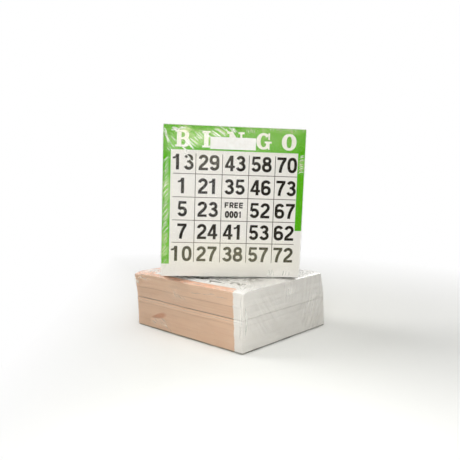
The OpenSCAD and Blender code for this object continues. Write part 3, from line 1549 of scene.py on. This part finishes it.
@dataclass(frozen=True)
class Weld:
    """The welded seam of the film: a thin fin whose width swells and whose level sways a little."""

    width: float = 0.6
    sunk: float = 0.1
    thickness: float = 0.08
    cell: float = 2.0
    swell: float = 0.25
    swell_length: float = 7.0
    swell_seed: int = 40
    sway: float = 0.35
    sway_length: float = 18.0
    sway_seed: int = 41
    # how white the fin is: painted glint and the seal's own whitening, as on a crease
    strength: float = 0.22

    def shape(self, reach: Triple, room: float, corner: float, seed: int) -> Shape:
        """The fin at half the pack's thickness, up the left side, round the header and down the right side.

        Args:
            reach: how far the cards reach in the three directions.
            room: room between the cards and the film at the sides.
            corner: length cut off each corner of the fin's path.
            seed: the pack's seed.

        Returns:
            The fin in the pack's own coordinates.
        """
        half_x, half_y, thickness = reach
        out = room + self.width / 2 - self.sunk
        right, top = half_x + out, half_y + out
        up = lines_between(-half_y, top - corner, self.cell)
        across = lines_between(corner - right, right - corner, self.cell)
        path = np.concatenate([
            np.stack([np.full_like(up, -right), up], -1),
            np.stack([across, np.full_like(across, top)], -1),
            np.stack([np.full_like(up, right), up[::-1]], -1),
        ])
        width = self.width * (1 + self.swell * ripple(path, self.swell_length, seed + self.swell_seed))
        fin = ribbons(flat_profile(1), path[None], width[None], thickness / 2, self.thickness)
        fin.points[:, 2] += self.sway * ripple(fin.points[:, :2], self.sway_length, seed + self.sway_seed)
        fin.strength = np.full(len(fin.points), self.strength)
        return fin


@dataclass(frozen=True)
class Pack(ABC):
    """One pack of cards in its film: its sizes, the meshes that every pack has, and their finishes.

    The film keeps off the cards by the seat at the face and the back, and by the room at the sides. It has
    no wrinkles on the side that it is pressed on, nor on the flat spots of the face, which are given by
    their middle and half sizes. Its patches of painted glare and its creases are listed.
    """

    body: str
    prefix: str
    pressed: Side
    seed: int
    bend: Bend
    printed: CardPrint
    milk: Colour
    hazes: tuple[Haze, ...]
    creases: tuple[Creases, ...]
    number_ink: tuple[Colour, Colour] = (srgb(18, 10, 0), srgb(36, 27, 8))
    mirror: float = 0.3
    flat_spots: tuple[tuple[float, float, float, float], ...] = ()
    stack: Stack = Stack()
    sheet_shares: tuple[float, ...] = (-1.0, -0.9, -0.6, 0.0, 0.6, 0.9, 1.0)
    weld: Weld = Weld()
    seat: float = 0.07
    room: float = 0.47
    film_corner: float = 0.9
    film_edge: float = 0.25
    film_rings: int = 34
    fine_cell: float = 0.9
    coarse_cell: float = 1.3
    fine_reach: float = 14.0
    wall_share: float = 0.985
    wrinkle: float = 0.09
    wrinkle_length: float = 22.0
    fold_height: float = 0.04
    fold_lift: float = 0.06
    fold_beyond: float = 0.3

    @property
    def reach(self) -> Triple:
        """How far the cards reach: half their width, half their height, and the pack's thickness."""
        return self.stack.card.width / 2, self.stack.card.height / 2, self.stack.thickness

    @abstractmethod
    def stand(self, x: np.ndarray, y: np.ndarray, t: np.ndarray, drop: np.ndarray) -> np.ndarray:
        """Carries points of the pack to the scene, in millimetres."""

    def carry(self, points: np.ndarray) -> np.ndarray:
        """Bends points with the cards and carries them to the scene.

        Args:
            points: places in the pack's own coordinates.

        Returns:
            Places in the scene, in millimetres.
        """
        x, y, t = points[..., 0], points[..., 1], points[..., 2]
        share = np.clip(t / self.stack.thickness, 0, 1)
        return self.stand(x, y, t, self.bend.drop(self.stack.card, x, y, share))

    def piece(
        self, name: str, shape: Shape, finish: Finish, slot: str, nodes: tuple[str, ...] = (),
        smooth: float = 40.0,
    ) -> None:
        """Makes one piece, which rides on the pack's body.

        Args:
            name: the piece's name, without the pack's prefix.
            shape: its mesh in the pack's own coordinates.
            finish: its finish.
            slot: the record's material slot that the finish belongs to; not used.
            nodes: names of the CAD nodes that it stands for, without the prefix.
            smooth: angle up to which two faces are shaded as one surface.
        """
        mesh = bpy.data.meshes.new(f"{self.prefix}_{name}")
        points = self.carry(shape.points) * MM
        mesh.vertices.add(len(points))
        mesh.vertices.foreach_set("co", points.ravel())
        mesh.loops.add(shape.quads.size)
        mesh.loops.foreach_set("vertex_index", shape.quads.ravel())
        mesh.polygons.add(len(shape.quads))
        mesh.polygons.foreach_set("loop_start", np.arange(len(shape.quads)) * 4)
        mesh.update(calc_edges=True)
        mesh.attributes.new(PLACE, "FLOAT_VECTOR", "POINT").data.foreach_set("vector", shape.points.ravel())
        if shape.strength is not None:
            mesh.attributes.new(STRENGTH, "FLOAT", "POINT").data.foreach_set("value", shape.strength)
        mesh.shade_smooth()
        mesh.set_sharp_from_angle(angle=float(np.radians(smooth)))
        mesh.materials.append(finish.material())
        made = bpy.data.objects.new(mesh.name, mesh)
        bpy.context.scene.collection.objects.link(made)
        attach(made, self.body)
        if nodes:
            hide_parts(*(f"{self.prefix}_{node}" for node in nodes))
        LOG.info("%s: %d faces on %s", mesh.name, len(mesh.polygons), self.body)

    def sheets(self, numbers: np.ndarray, xs: np.ndarray, ys: np.ndarray) -> Shape:
        """Cards as thin closed sheets.

        The grid's inner lines are the same for all cards, and its outermost lines move with each card's
        stray, so that neighbouring sheets bend alike.

        Args:
            numbers: numbers of the cards, counted from the back.
            xs, ys: the lines of a card's grid.

        Returns:
            The sheets as one shape.
        """
        x, y = np.meshgrid(xs, ys, indexing="ij")
        outer_x, outer_y = np.abs(x) >= xs[-1], np.abs(y) >= ys[-1]
        stray = self.stack.strays()[numbers]
        x = x[None] + outer_x * stray[:, 0, None, None]
        y = y[None] + outer_y * stray[:, 1, None, None]
        base = self.stack.heights()[numbers][:, None, None] + np.zeros_like(x)
        faces = [np.stack([x, y, base + lift], -1) for lift in (self.stack.card.thickness, 0.0)]
        points = np.stack(faces, 1).reshape(-1, 3)
        size = 2 * len(xs) * len(ys)
        return Shape(points, copies(skin_faces(len(xs), len(ys), 0), size, len(numbers)))

    def card_paper(self, name: str, bleed: Colour, bleed_dark: Colour, **looks: object) -> CardPaper:
        """Paper for the pack's cards.

        Args:
            name: its name.
            bleed, bleed_dark: colours of the ink on its cut edges.
            looks: what differs from the usual paper.

        Returns:
            The finish, fitted to the pack.
        """
        card, half, printed = self.stack.card, self.stack.card.height / 2, self.printed
        return CardPaper(
            name, bleed, bleed_dark, card.width, card.height, self.stack.thickness,
            half - printed.left_end, half - printed.right_end, self.stack.seams(), **looks)

    def build_bundles(self, finish: Finish, slot: str) -> None:
        """Makes one piece of sheets for each bundle. Their grid lines are at shares of the half sizes.

        Args:
            finish: the cards' finish.
            slot: the record's slot for it.
        """
        lines = [half * np.array(self.sheet_shares) for half in self.reach[:2]]
        for bundle in range(self.stack.bundles):
            first, after = self.stack.first_cards[bundle:bundle + 2]
            shape = self.sheets(np.arange(first, min(after, self.stack.cards - 1)), *lines)
            self.piece(f"sheets_{bundle + 1}", shape, finish, slot, (f"cards_{bundle + 1}",), smooth=20.0)

    def build_printed_card(self, paper: Finish, band: Ink, slot: str, node: str) -> None:
        """Makes the outermost card and the ink on it.

        Args:
            paper: finish of the card.
            band: finish of its coloured bands.
            slot: the record's slot for the card.
            node: name of the CAD node of the card, without the prefix.
        """
        card, printed = self.stack.card, self.printed
        number = self.stack.cards - 1
        lines = [card.lines(half) for half in self.reach[:2]]
        self.piece("printed_sheet", self.sheets(np.array([number]), *lines), paper, slot, (node,))
        black = Ink("number_ink", *self.number_ink)
        grey = Ink("rule_ink", srgb(88, 80, 66), srgb(128, 120, 104))
        white = Ink("head_paper", srgb(248, 246, 240), srgb(236, 233, 222), 0.7)
        parts = {
            "bands": (printed.bands(card), band),
            "rules": (printed.rules(card), grey),
            "numbers": (printed.figures(card), black),
            "column_heads": (printed.column_heads(card), white),
        }
        stray = self.stack.strays()[number]
        for name, (shape, finish) in parts.items():
            shape.points[:, :2] += stray
            shape.points[:, 2] += self.stack.thickness
            self.piece(name, shape, finish, slot)

    def film_wrinkle(self, points: np.ndarray) -> np.ndarray:
        """How far the film stands off: squared ripples, so that it only stands outwards.

        They fade out towards a flat spot, from one and a half times its half sizes to once.

        Args:
            points: places in the pack's own coordinates.

        Returns:
            One distance for each place.
        """
        rise = self.wrinkle * ripple(points, self.wrinkle_length, self.seed) ** 2
        for x, y, half_x, half_y in self.flat_spots:
            away = np.maximum(np.abs(points[..., 0] - x) / half_x, np.abs(points[..., 1] - y) / half_y)
            rise = rise * np.clip((away - 1) * 2, 0, 1)
        return rise

    def film_skin(self) -> Shape:
        """The film as one closed skin round the pack.

        The upper and lower grids follow the face and the back, and rings go down the sides. Corners of the
        outline are rounded: within a corner's square the distance along the longer side becomes the radius.
        Every point then moves outwards by the wrinkle at its place, but not on the pressed side. A wall's
        point moves straight out of a side where it is further out than the wall share of the half size.

        Returns:
            The skin in the pack's own coordinates.
        """
        half = np.array(self.reach[:2]) + self.room
        xs, ys = (edge_lines(h, self.fine_cell, self.coarse_cell, self.fine_reach) for h in half)
        grid = np.stack(np.meshgrid(xs, ys, indexing="ij"), -1)
        inner = half - self.film_corner
        beyond = np.maximum(np.abs(grid) - inner, 0)
        longest, direct = beyond.max(-1), np.linalg.norm(beyond, axis=-1)
        scale = np.where((beyond > 0).all(-1), longest / np.maximum(direct, 1e-9), 1.0)
        outline = np.sign(grid) * (np.minimum(np.abs(grid), inner) + beyond * scale[..., None])
        rim, tucked = rim_of(outline), outline * (1 - self.film_edge / half)
        top, foot = self.stack.thickness + self.seat, -self.seat
        rings = np.linspace(top - self.film_edge, foot + self.film_edge, self.film_rings)[:, None, None]
        size = len(rings), len(rim)
        wall = np.concatenate([np.broadcast_to(rim, (*size, 2)), np.broadcast_to(rings, (*size, 1))], -1)
        face, back = (
            np.concatenate([tucked, np.full((*tucked.shape[:2], 1), level)], -1) for level in (top, foot))
        points = np.concatenate([part.reshape(-1, 3) for part in (face, back, wall)])
        ahead = np.array([0.0, 0.0, 1.0])
        sideways = np.concatenate([rim / half, np.zeros((len(rim), 1))], -1)
        outward = np.concatenate([
            np.broadcast_to(direction, part.shape).reshape(-1, 3)
            for direction, part in ((ahead, face), (-ahead, back), (sideways, wall))
        ])
        outward = outward * (np.abs(outward) > self.wall_share)
        free = outward @ np.array(self.pressed.value[2], float) < self.wall_share
        points = points + outward * free[:, None] * self.film_wrinkle(points)[:, None]
        return Shape(points, skin_faces(len(xs), len(ys), len(rings)))

    def crease_shape(self) -> Shape:
        """All creases as thin folds that stand on the film.

        Each fold is a slanted profile carried along its path on the side's own plane, and the plane is then
        set on the film, whose wrinkle it follows. A fold's end is held close to the film's outline.

        Returns:
            The folds in the pack's own coordinates.
        """
        reach = np.array(self.reach) + [self.room, self.room, self.seat]
        lowest = np.array([-reach[0], -reach[1], -self.seat])
        beyond = np.array([self.fold_beyond, self.fold_beyond, 0.0])
        parts = []
        for number, group in enumerate(self.creases):
            paths, widths, strengths = group.paths(self.seed * 100 + number)
            right, up, out = (np.array(axis, float) for axis in group.side.value)
            fold = ribbons(FOLD, paths, widths, 0.0, widths * self.fold_height)
            start = np.where(out < 0, lowest, reach) * np.abs(out)
            at = fold.points[:, :1] * right + fold.points[:, 1:2] * up + start
            lift = fold.points[:, 2] + self.film_wrinkle(at) + self.fold_lift
            at = np.clip(at, lowest - beyond, reach + beyond)
            strength = (strengths.ravel()[:, None] * FOLD_STRENGTH).ravel()
            parts.append(Shape(at + lift[:, None] * out, fold.quads, strength))
        return Shape.joined(parts)

    def build_film(self) -> None:
        """Makes the film, its seam and its creases."""
        film = ClearFilm(self.reach, self.hazes, self.milk, self.mirror)
        weld = self.weld.shape(self.reach, self.room, self.film_corner, self.seed)
        self.piece("film_wrap", self.film_skin(), film, "film", ("film",), smooth=70.0)
        self.piece("film_weld", weld, CreasedFilm(), "film")
        self.piece("film_creases", self.crease_shape(), CreasedFilm(), "film")


def turned(x: np.ndarray, y: np.ndarray, angle: np.ndarray | float) -> tuple[np.ndarray, np.ndarray]:
    """A point turned anticlockwise about the origin, by an angle in radians."""
    return x * np.cos(angle) - y * np.sin(angle), x * np.sin(angle) + y * np.cos(angle)


@dataclass(frozen=True)
class LyingPlace:
    """Where the lying pack is: turned, and twisted about its near corner."""

    turn: float = 42.8
    twist: float = 2.3
    bend_share: float = 0.6
    bend_twist_share: float = 0.3
    foot: float = 0.09


@dataclass(frozen=True)
class LyingPack(Pack):
    """The pack of orange cards that lies face up."""

    body: str = "lying_pack"
    prefix: str = "lower"
    pressed: Side = Side.BACK
    seed: int = 11
    place: LyingPlace = LyingPlace()
    bend: Bend = Bend(
        left=2.7, right=0.6, foot=1.7, header=0.6, reach=13.0,
        reliefs=(Relief(-50.8, 30.0, 0.5, 16.0), Relief(-45.0, 42.0, 0.7, 6.0)),
    )
    printed: CardPrint = CardPrint((
        (4, 17, 38, 51, 66),
        (12, 26, 33, 59, 74),
        (8, 30, 0, 47, 61),
        (15, 19, 42, 55, 69),
        (2, 22, 36, 60, 71),
    ), "0002", left_band=4.4)
    number_ink: tuple[Colour, Colour] = (srgb(92, 86, 74), srgb(126, 120, 106))
    mirror: float = 0.75
    milk: Colour = srgb(252, 249, 240)
    hazes: tuple[Haze, ...] = (
        Haze(-6.0, -48.0, 66.0, 40.0, 0.45, 20.0, streaks=0.15),
        Haze(-48.5, 10.0, 7.0, 70.0, 0.24, 60.0, streaks=0.5, coarse=1.8),
        Haze(44.0, -40.0, 24.0, 28.0, 0.5, 35.0, streaks=0.35),
        Haze(-44.0, 46.0, 12.0, 14.0, 0.6, 35.0, streaks=0.6),
        Haze(34.0, 22.0, 22.0, 30.0, 0.28, 66.0, 0.95, Side.FOOT, 2.4),
        Haze(4.0, 36.0, 12.0, 9.0, 0.4, 82.0, 0.95, Side.FOOT, 1.8),
        Haze(-26.0, 24.0, 22.0, 20.0, 0.16, -52.0, 0.95, Side.FOOT, 2.4),
        Haze(-10.0, 33.0, 14.0, 8.0, 0.12, -35.0, 0.95, Side.LEFT, 1.6),
        Haze(-28.0, 6.0, 14.0, 6.0, 0.14, -36.0, 0.95, Side.LEFT, 1.6),
    )
    creases: tuple[Creases, ...] = (
        Creases(Side.LEFT, (-53.4, 38.5), (-50.5, 37.0), -58, 4, 7.0, 0.7, 0.7, scatter=12),
        Creases(Side.LEFT, (-50.0, 41.5), (-38.0, 40.0), 16, 6, 6.0, 0.6, 0.5, scatter=22),
        Creases(Side.LEFT, (-37.0, 4.8), (-22.0, 8.5), -30, 6, 8.0, 0.6, 0.4),
        Creases(Side.LEFT, (-24.0, 6.0), (-16.0, 2.5), -42, 4, 8.0, 0.5, 0.4, scatter=8),
        Creases(Side.LEFT, (-10.0, 34.0), (-1.0, 31.0), -48, 5, 6.0, 0.5, 0.35, sway=0.2, scatter=14),
        Creases(Side.LEFT, (8.0, 38.0), (40.0, 38.5), 4, 6, 9.0, 0.5, 0.3, scatter=7),
        Creases(Side.LEFT, (51.0, 22.0), (54.0, 22.0), 89, 2, 34.0, 1.0, 0.18, scatter=1),
        Creases(Side.FOOT, (-50.6, 22.0), (-49.0, 22.0), 90, 1, 36.0, 1.4, 0.5, scatter=1),
        Creases(Side.FOOT, (0.0, 35.5), (8.0, 35.0), 86, 4, 7.5, 0.9, 0.45, scatter=4),
        Creases(Side.FOOT, (24.0, 24.0), (46.0, 22.0), 66, 6, 24.0, 0.9, 0.22, scatter=3),
        Creases(Side.FACE, (-46.0, -46.0), (-20.0, -50.0), 30, 8, 9.0, 0.6, 0.6, scatter=14),
        Creases(Side.FACE, (-50.0, -48.0), (-50.0, 40.0), 88, 11, 10.0, 0.6, 0.5, scatter=3),
        Creases(Side.FACE, (18.0, -52.0), (46.0, -47.0), 20, 8, 12.0, 0.7, 0.4, scatter=14),
        Creases(Side.FACE, (-46.0, 50.0), (-40.0, 40.0), 50, 6, 7.0, 0.6, 0.7, scatter=25),
        Creases(Side.FACE, (34.0, 50.0), (48.0, 36.0), 40, 7, 14.0, 0.5, 0.3, scatter=12),
        Creases(Side.RIGHT, (-48.0, 20.0), (-34.0, 28.0), -60, 9, 14.0),
        Creases(Side.RIGHT, (36.0, 28.0), (50.0, 22.0), 64, 8, 13.0),
        Creases(Side.HEADER, (-48.0, 20.0), (-36.0, 28.0), -58, 8, 13.0),
        Creases(Side.HEADER, (34.0, 26.0), (46.0, 20.0), 60, 8, 13.0),
    )

    def stand(self, x: np.ndarray, y: np.ndarray, t: np.ndarray, drop: np.ndarray) -> np.ndarray:
        """Carries points to the lying pack's place.

        A point turns about the near corner by the twist at its height, and then about the middle by the
        pack's turn. The twist rises evenly to a share of itself, and more quickly above that.

        Args:
            x, y, t: place in the pack's own coordinates.
            drop: how far the point is pulled down.

        Returns:
            Places in the scene, in millimetres.
        """
        place, card = self.place, self.stack.card
        share = np.clip(t / self.stack.thickness, 0, 1)
        knots = (0.0, place.bend_share, 1.0), (0.0, place.bend_twist_share, 1.0)
        twist = np.radians(place.twist * np.interp(share, *knots))
        corner_x, corner_y = -card.width / 2, -card.height / 2
        near_x, near_y = turned(x - corner_x, y - corner_y, twist)
        world_x, world_y = turned(near_x + corner_x, near_y + corner_y, np.radians(place.turn))
        return np.stack([world_x, world_y, place.foot + t - drop], -1)

    def build(self) -> None:
        """Makes the pack's pieces in order."""
        paper = self.card_paper(
            "orange_card_paper", srgb(244, 217, 190), srgb(230, 197, 168), soil=Soil(), drift=2.0,
            paper=srgb(252, 250, 246), shade=srgb(243, 241, 236))
        band = Ink("orange_ink", srgb(242, 178, 142), srgb(246, 200, 170))
        self.build_bundles(paper, "card_stack_orange")
        self.build_printed_card(paper, band, "card_face_orange", "top_card")
        self.build_film()


@dataclass(frozen=True)
class StandingPlace:
    """Where the standing pack is: its printed face's foot, and its leans."""

    x: float = -4.7
    front: float = 32.4
    height: float = 45.32
    lean_forward: float = 2.2
    lean_side: float = 0.9


@dataclass(frozen=True)
class Label:
    """The blank label on the film: a thin slab whose corners curl up."""

    width: float = 32.5
    height: float = 8.5
    thickness: float = 0.08
    x: float = -1.6
    y: float = 42.3
    air: float = 0.01
    cell: float = 0.8
    curl: float = 0.12
    curl_power: int = 6
    ripple: float = 0.05
    ripple_length: float = 9.0
    ripple_seed: int = 5

    def shape(self, level: float, seed: int) -> Shape:
        """The label lying on the film.

        A corner's curl is the product of two powers, one of the place across and one of the place up in
        shares of the half sizes. Light ripples are added to it.

        Args:
            level: height of the film's face over the back of the pack.
            seed: the pack's seed.

        Returns:
            The slab in the pack's own coordinates.
        """
        half = np.array([self.width / 2, self.height / 2])
        xs, ys = (lines_between(-h, h, self.cell) for h in half)
        shape = slab(xs, ys, 0, self.thickness)
        flat = shape.points[:, :2].copy()
        waves = 1 + ripple(flat, self.ripple_length, seed + self.ripple_seed)
        curl = self.curl * np.prod((np.abs(flat) / half) ** self.curl_power, axis=1) + self.ripple * waves / 2
        shape.points += [self.x, self.y, level + self.air]
        shape.points[:, 2] += curl
        return shape


@dataclass(frozen=True)
class StandingPack(Pack):
    """The pack of green cards that stands on the lying one."""

    body: str = "standing_pack"
    prefix: str = "upright"
    pressed: Side = Side.FOOT
    seed: int = 23
    place: StandingPlace = StandingPlace()
    bend: Bend = Bend(left=0.45, right=0.35, foot=0.4, header=0.4, reach=8.0, back=0.4)
    label: Label = Label()
    flat_spots: tuple[tuple[float, float, float, float], ...] = ((-1.6, 42.3, 17.5, 5.5),)
    printed: CardPrint = CardPrint((
        (13, 29, 43, 58, 70),
        (1, 21, 35, 46, 73),
        (5, 23, 0, 52, 67),
        (7, 24, 41, 53, 62),
        (10, 27, 38, 57, 72),
    ), "0001")
    milk: Colour = srgb(254, 250, 202)
    hazes: tuple[Haze, ...] = (
        Haze(-27.0, 46.5, 20.0, 9.0, 0.26, -38.0, streaks=0.5),
        Haze(-12.5, 50.5, 13.0, 4.8, 0.42, -35.0, streaks=0.9),
        Haze(-36.0, 51.0, 7.0, 4.0, 0.5, -25.0, streaks=0.5),
        Haze(24.0, 48.0, 34.0, 16.0, 0.16, -45.0, streaks=0.3),
        Haze(-47.0, 45.0, 20.0, 13.0, 0.12, -42.0, streaks=0.3),
        Haze(16.0, 52.0, 18.0, 3.2, 0.36, -50.0),
        Haze(37.0, 52.4, 18.0, 3.2, 0.38, -50.0),
        Haze(-48.5, 4.0, 3.8, 26.0, 0.3, 50.0),
        Haze(-48.5, -32.0, 3.8, 20.0, 0.38, 54.0),
        Haze(48.4, 28.5, 3.0, 8.0, 0.45, 14.0),
        Haze(-20.0, 31.0, 24.0, 11.0, 0.04, -45.0, streaks=0.4),
        Haze(2.0, -40.0, 76.0, 17.0, 0.15, -30.0, streaks=0.15),
    )
    creases: tuple[Creases, ...] = (
        Creases(Side.FACE, (-20.5, 46.6), (-8.0, 51.8), -32, 7, 11.0, 0.85, 1.0, scatter=2),
        Creases(Side.FACE, (-7.0, 50.8), (1.5, 52.4), -45, 4, 6.0, 0.9, 1.0, scatter=3),
        Creases(Side.FACE, (-34.0, 38.8), (-21.0, 49.5), -40, 9, 8.5, 0.75, 0.8, scatter=5),
        Creases(Side.FACE, (-47.5, 36.0), (-42.0, 44.0), -46, 4, 7.0, 0.7, 0.6, scatter=6),
        Creases(Side.FACE, (-49.7, 50.0), (-47.8, 42.5), -57, 5, 6.0, 0.8, 0.8, scatter=6),
        Creases(Side.FACE, (-45.0, 50.2), (-35.5, 52.4), -18, 7, 5.0, 1.0, 0.95, scatter=28),
        Creases(Side.FACE, (-38.0, 38.6), (-35.5, 37.2), -40, 2, 6.0, 0.6, 0.95, scatter=3),
        Creases(Side.FACE, (-35.5, 34.0), (-29.5, 28.0), -45, 5, 6.0, 0.35, 0.85, scatter=4),
        Creases(Side.FACE, (-48.3, 32.0), (-48.3, -22.0), 50, 28, 6.8, 0.5, 0.75, bow=0.05, scatter=3),
        Creases(Side.FACE, (-48.3, -22.0), (-48.3, -44.0), 54, 7, 5.5, scatter=6),
        Creases(Side.FACE, (48.4, 36.0), (48.4, 21.5), 14, 7, 4.6, 0.6, 0.95, bow=0.22, sway=0.03, scatter=4),
        Creases(Side.FACE, (24.0, 53.2), (50.0, 53.2), 80, 14, 2.0, 0.5, 0.6, scatter=20),
        Creases(Side.FACE, (6.0, 51.5), (14.0, 51.5), -60, 5, 4.0, 0.4, 0.5, scatter=8),
        Creases(Side.FACE, (26.5, -50.6), (32.0, -50.6), 88, 4, 5.0, 0.9, 0.9, scatter=8),
        Creases(Side.FACE, (38.0, -50.8), (44.0, -50.8), 80, 3, 4.0, 0.6, 0.6, scatter=8),
        Creases(Side.FACE, (-22.0, -54.4), (36.0, -54.4), 0, 8, 9.0, 0.5, 0.7, sway=0.01, scatter=1),
        Creases(Side.LEFT, (-46.0, 14.0), (-30.0, 26.0), -60, 10, 13.0),
        Creases(Side.LEFT, (34.0, 26.0), (48.0, 14.0), 58, 9, 13.0),
        Creases(Side.RIGHT, (-46.0, 14.0), (-30.0, 28.0), -60, 9, 13.0),
        Creases(Side.RIGHT, (34.0, 30.0), (48.0, 14.0), 58, 9, 13.0),
        Creases(Side.HEADER, (-46.0, 16.0), (-28.0, 28.0), -55, 9, 13.0, 0.5, 0.55),
        Creases(Side.HEADER, (28.0, 28.0), (46.0, 16.0), 55, 9, 13.0, 0.5, 0.55),
        Creases(Side.BACK, (-48.0, 26.0), (-26.0, 50.0), -42, 16, 17.0, 1.0, 0.35),
        Creases(Side.BACK, (26.0, 50.0), (48.0, 28.0), 44, 16, 17.0, 1.0, 0.35),
        Creases(Side.BACK, (-48.0, -26.0), (-24.0, -50.0), 40, 14, 17.0, 1.0, 0.35),
        Creases(Side.BACK, (26.0, -48.0), (48.0, -24.0), -44, 14, 17.0, 1.0, 0.35),
    )

    def stand(self, x: np.ndarray, y: np.ndarray, t: np.ndarray, drop: np.ndarray) -> np.ndarray:
        """Carries points to the standing pack's place.

        The cards stand on one level and lean forward, so the pack is a slanted block. It then leans to the
        side.

        Args:
            x, y, t: place in the pack's own coordinates.
            drop: how far the point is pulled towards the middle of the pack.

        Returns:
            Places in the scene, in millimetres.
        """
        place, thickness = self.place, self.stack.thickness
        lean, side = np.radians(place.lean_forward), np.radians(place.lean_side)
        base = np.clip(t, 0, thickness)
        lift = t - base - drop
        up = y + self.stack.card.height / 2
        depth = (thickness - base) / np.cos(lean) - up * np.sin(lean) - lift * np.cos(lean)
        rise = up * np.cos(lean) - lift * np.sin(lean)
        world_x = x * np.cos(side) + rise * np.sin(side) + place.x
        world_z = rise * np.cos(side) - x * np.sin(side) + place.height
        return np.stack([world_x, depth - place.front, world_z], -1)

    def build(self) -> None:
        """Makes the pack's pieces in order."""
        paper = self.card_paper("green_card_paper", srgb(206, 216, 182), srgb(168, 186, 138))
        band = Ink("green_ink", srgb(80, 174, 0), srgb(98, 183, 8))
        self.build_bundles(paper, "card_stack_green")
        self.build_printed_card(paper, band, "card_face_green", "face_card")
        self.build_film()
        label = self.label.shape(self.stack.thickness + self.seat, self.seed)
        self.piece("blank_label", label, LabelPaper(), "label", ("label",))


@dataclass(frozen=True)
class Camera:
    """The photograph's camera, in millimetres and degrees."""

    place: Triple = (-42.4, -400.5, 112.4)
    turn: float = 5.67
    down: float = 5.06
    roll: float = 0.81
    lens: float = 39.94
    sensor: float = 36.0

    def build(self) -> None:
        """Makes the camera and gives it to the scene."""
        turn, down, roll = (np.radians(a) for a in (self.turn, self.down, self.roll))
        ahead = np.array([np.sin(turn) * np.cos(down), np.cos(turn) * np.cos(down), -np.sin(down)])
        right = np.array([np.cos(turn), -np.sin(turn), 0.0])
        up = np.cross(right, ahead)
        right, up = right * np.cos(roll) + up * np.sin(roll), up * np.cos(roll) - right * np.sin(roll)
        data = bpy.data.cameras.new("camera")
        data.lens, data.sensor_width = self.lens, self.sensor
        data.clip_start, data.clip_end = 0.01, 20.0
        made = bpy.data.objects.new("camera", data)
        made.matrix_world = Matrix.Translation(Vector(self.place) * MM) @ Matrix(
            np.stack([right, up, -ahead], 1).tolist()).to_4x4()
        bpy.context.scene.collection.objects.link(made)
        bpy.context.scene.camera = made


@dataclass(frozen=True)
class SoftBox:
    """One square soft lamp that looks at the packs."""

    name: str
    place: Triple
    aim: Triple
    side: float
    power: float

    def build(self) -> None:
        """Makes the lamp."""
        data = bpy.data.lights.new(self.name, "AREA")
        data.shape, data.size, data.energy = "SQUARE", self.side * MM, self.power
        made = bpy.data.objects.new(self.name, data)
        made.location = Vector(self.place) * MM
        direction = (Vector(self.aim) - Vector(self.place)).normalized()
        made.rotation_euler = direction.to_track_quat("-Z", "Y").to_euler()
        bpy.context.scene.collection.objects.link(made)


@dataclass(frozen=True)
class Studio:
    """The floor with its backdrop, the lamps and the world."""

    half: float = 1500.0
    back: float = 900.0
    cove: float = 400.0
    cove_steps: int = 16
    ambient: float = 0.26
    lamps: tuple[SoftBox, ...] = (
        SoftBox("key_lamp", (-420.0, 150.0, 450.0), (0.0, 0.0, 40.0), 300.0, 1.88),
        SoftBox("near_lamp", (-24.0, -310.0, 104.0), (0.0, -60.0, 40.0), 120.0, 0.32),
        SoftBox("behind_lamp", (370.0, 350.0, 300.0), (60.0, 0.0, 20.0), 300.0, 0.78),
        SoftBox("top_lamp", (60.0, -120.0, 600.0), (0.0, 0.0, 40.0), 300.0, 1.04),
    )

    def build_floor(self) -> None:
        """Makes the floor: level, then a quarter circle up, then a wall, carried from side to side."""
        angle = np.linspace(0, np.pi / 2, self.cove_steps)
        cove = np.stack([self.back + self.cove * np.sin(angle), self.cove * (1 - np.cos(angle))], -1)
        front, top = (-self.half, 0.0), (self.back + self.cove, self.cove + self.half)
        profile = np.vstack([front, cove, top])
        count = len(profile)
        sides = np.repeat([-self.half, self.half], count)[:, None]
        points = np.concatenate([sides, np.tile(profile, (2, 1))], -1) * MM
        row = np.arange(count - 1)
        faces = np.stack([row, row + count, row + count + 1, row + 1], -1)
        mesh = bpy.data.meshes.new("studio_floor")
        mesh.from_pydata(points.tolist(), [], faces.tolist())
        mesh.shade_smooth()
        mesh.materials.append(StudioPaper().material())
        made = bpy.data.objects.new("studio_floor", mesh)
        bpy.context.scene.collection.objects.link(made)

    def build_world(self) -> None:
        """Makes the world: a soft grey light for the packs, and white for the camera and for mirrors."""
        world = bpy.data.worlds.new("studio_world")
        world.use_nodes = True
        bpy.context.scene.world = world
        tree = Tree(world.node_tree)
        strength = tree.seen().between(self.ambient, 1)
        light = tree.add("ShaderNodeBackground", None, {"Color": WHITE, "Strength": strength})
        tree.add("ShaderNodeOutputWorld", None, {"Surface": light})

    def build(self) -> None:
        """Makes the stage and sets the plain view."""
        self.build_floor()
        self.build_world()
        for lamp in self.lamps:
            lamp.build()
        bpy.context.scene.view_settings.view_transform = "Standard"


def main() -> None:
    """Builds the camera, the studio and the two packs, and logs the faces of each piece."""
    logging.basicConfig(level=logging.INFO, format="%(name)s: %(message)s")
    Camera().build()
    Studio().build()
    LyingPack().build()
    StandingPack().build()


if __name__ == "__main__":
    main()
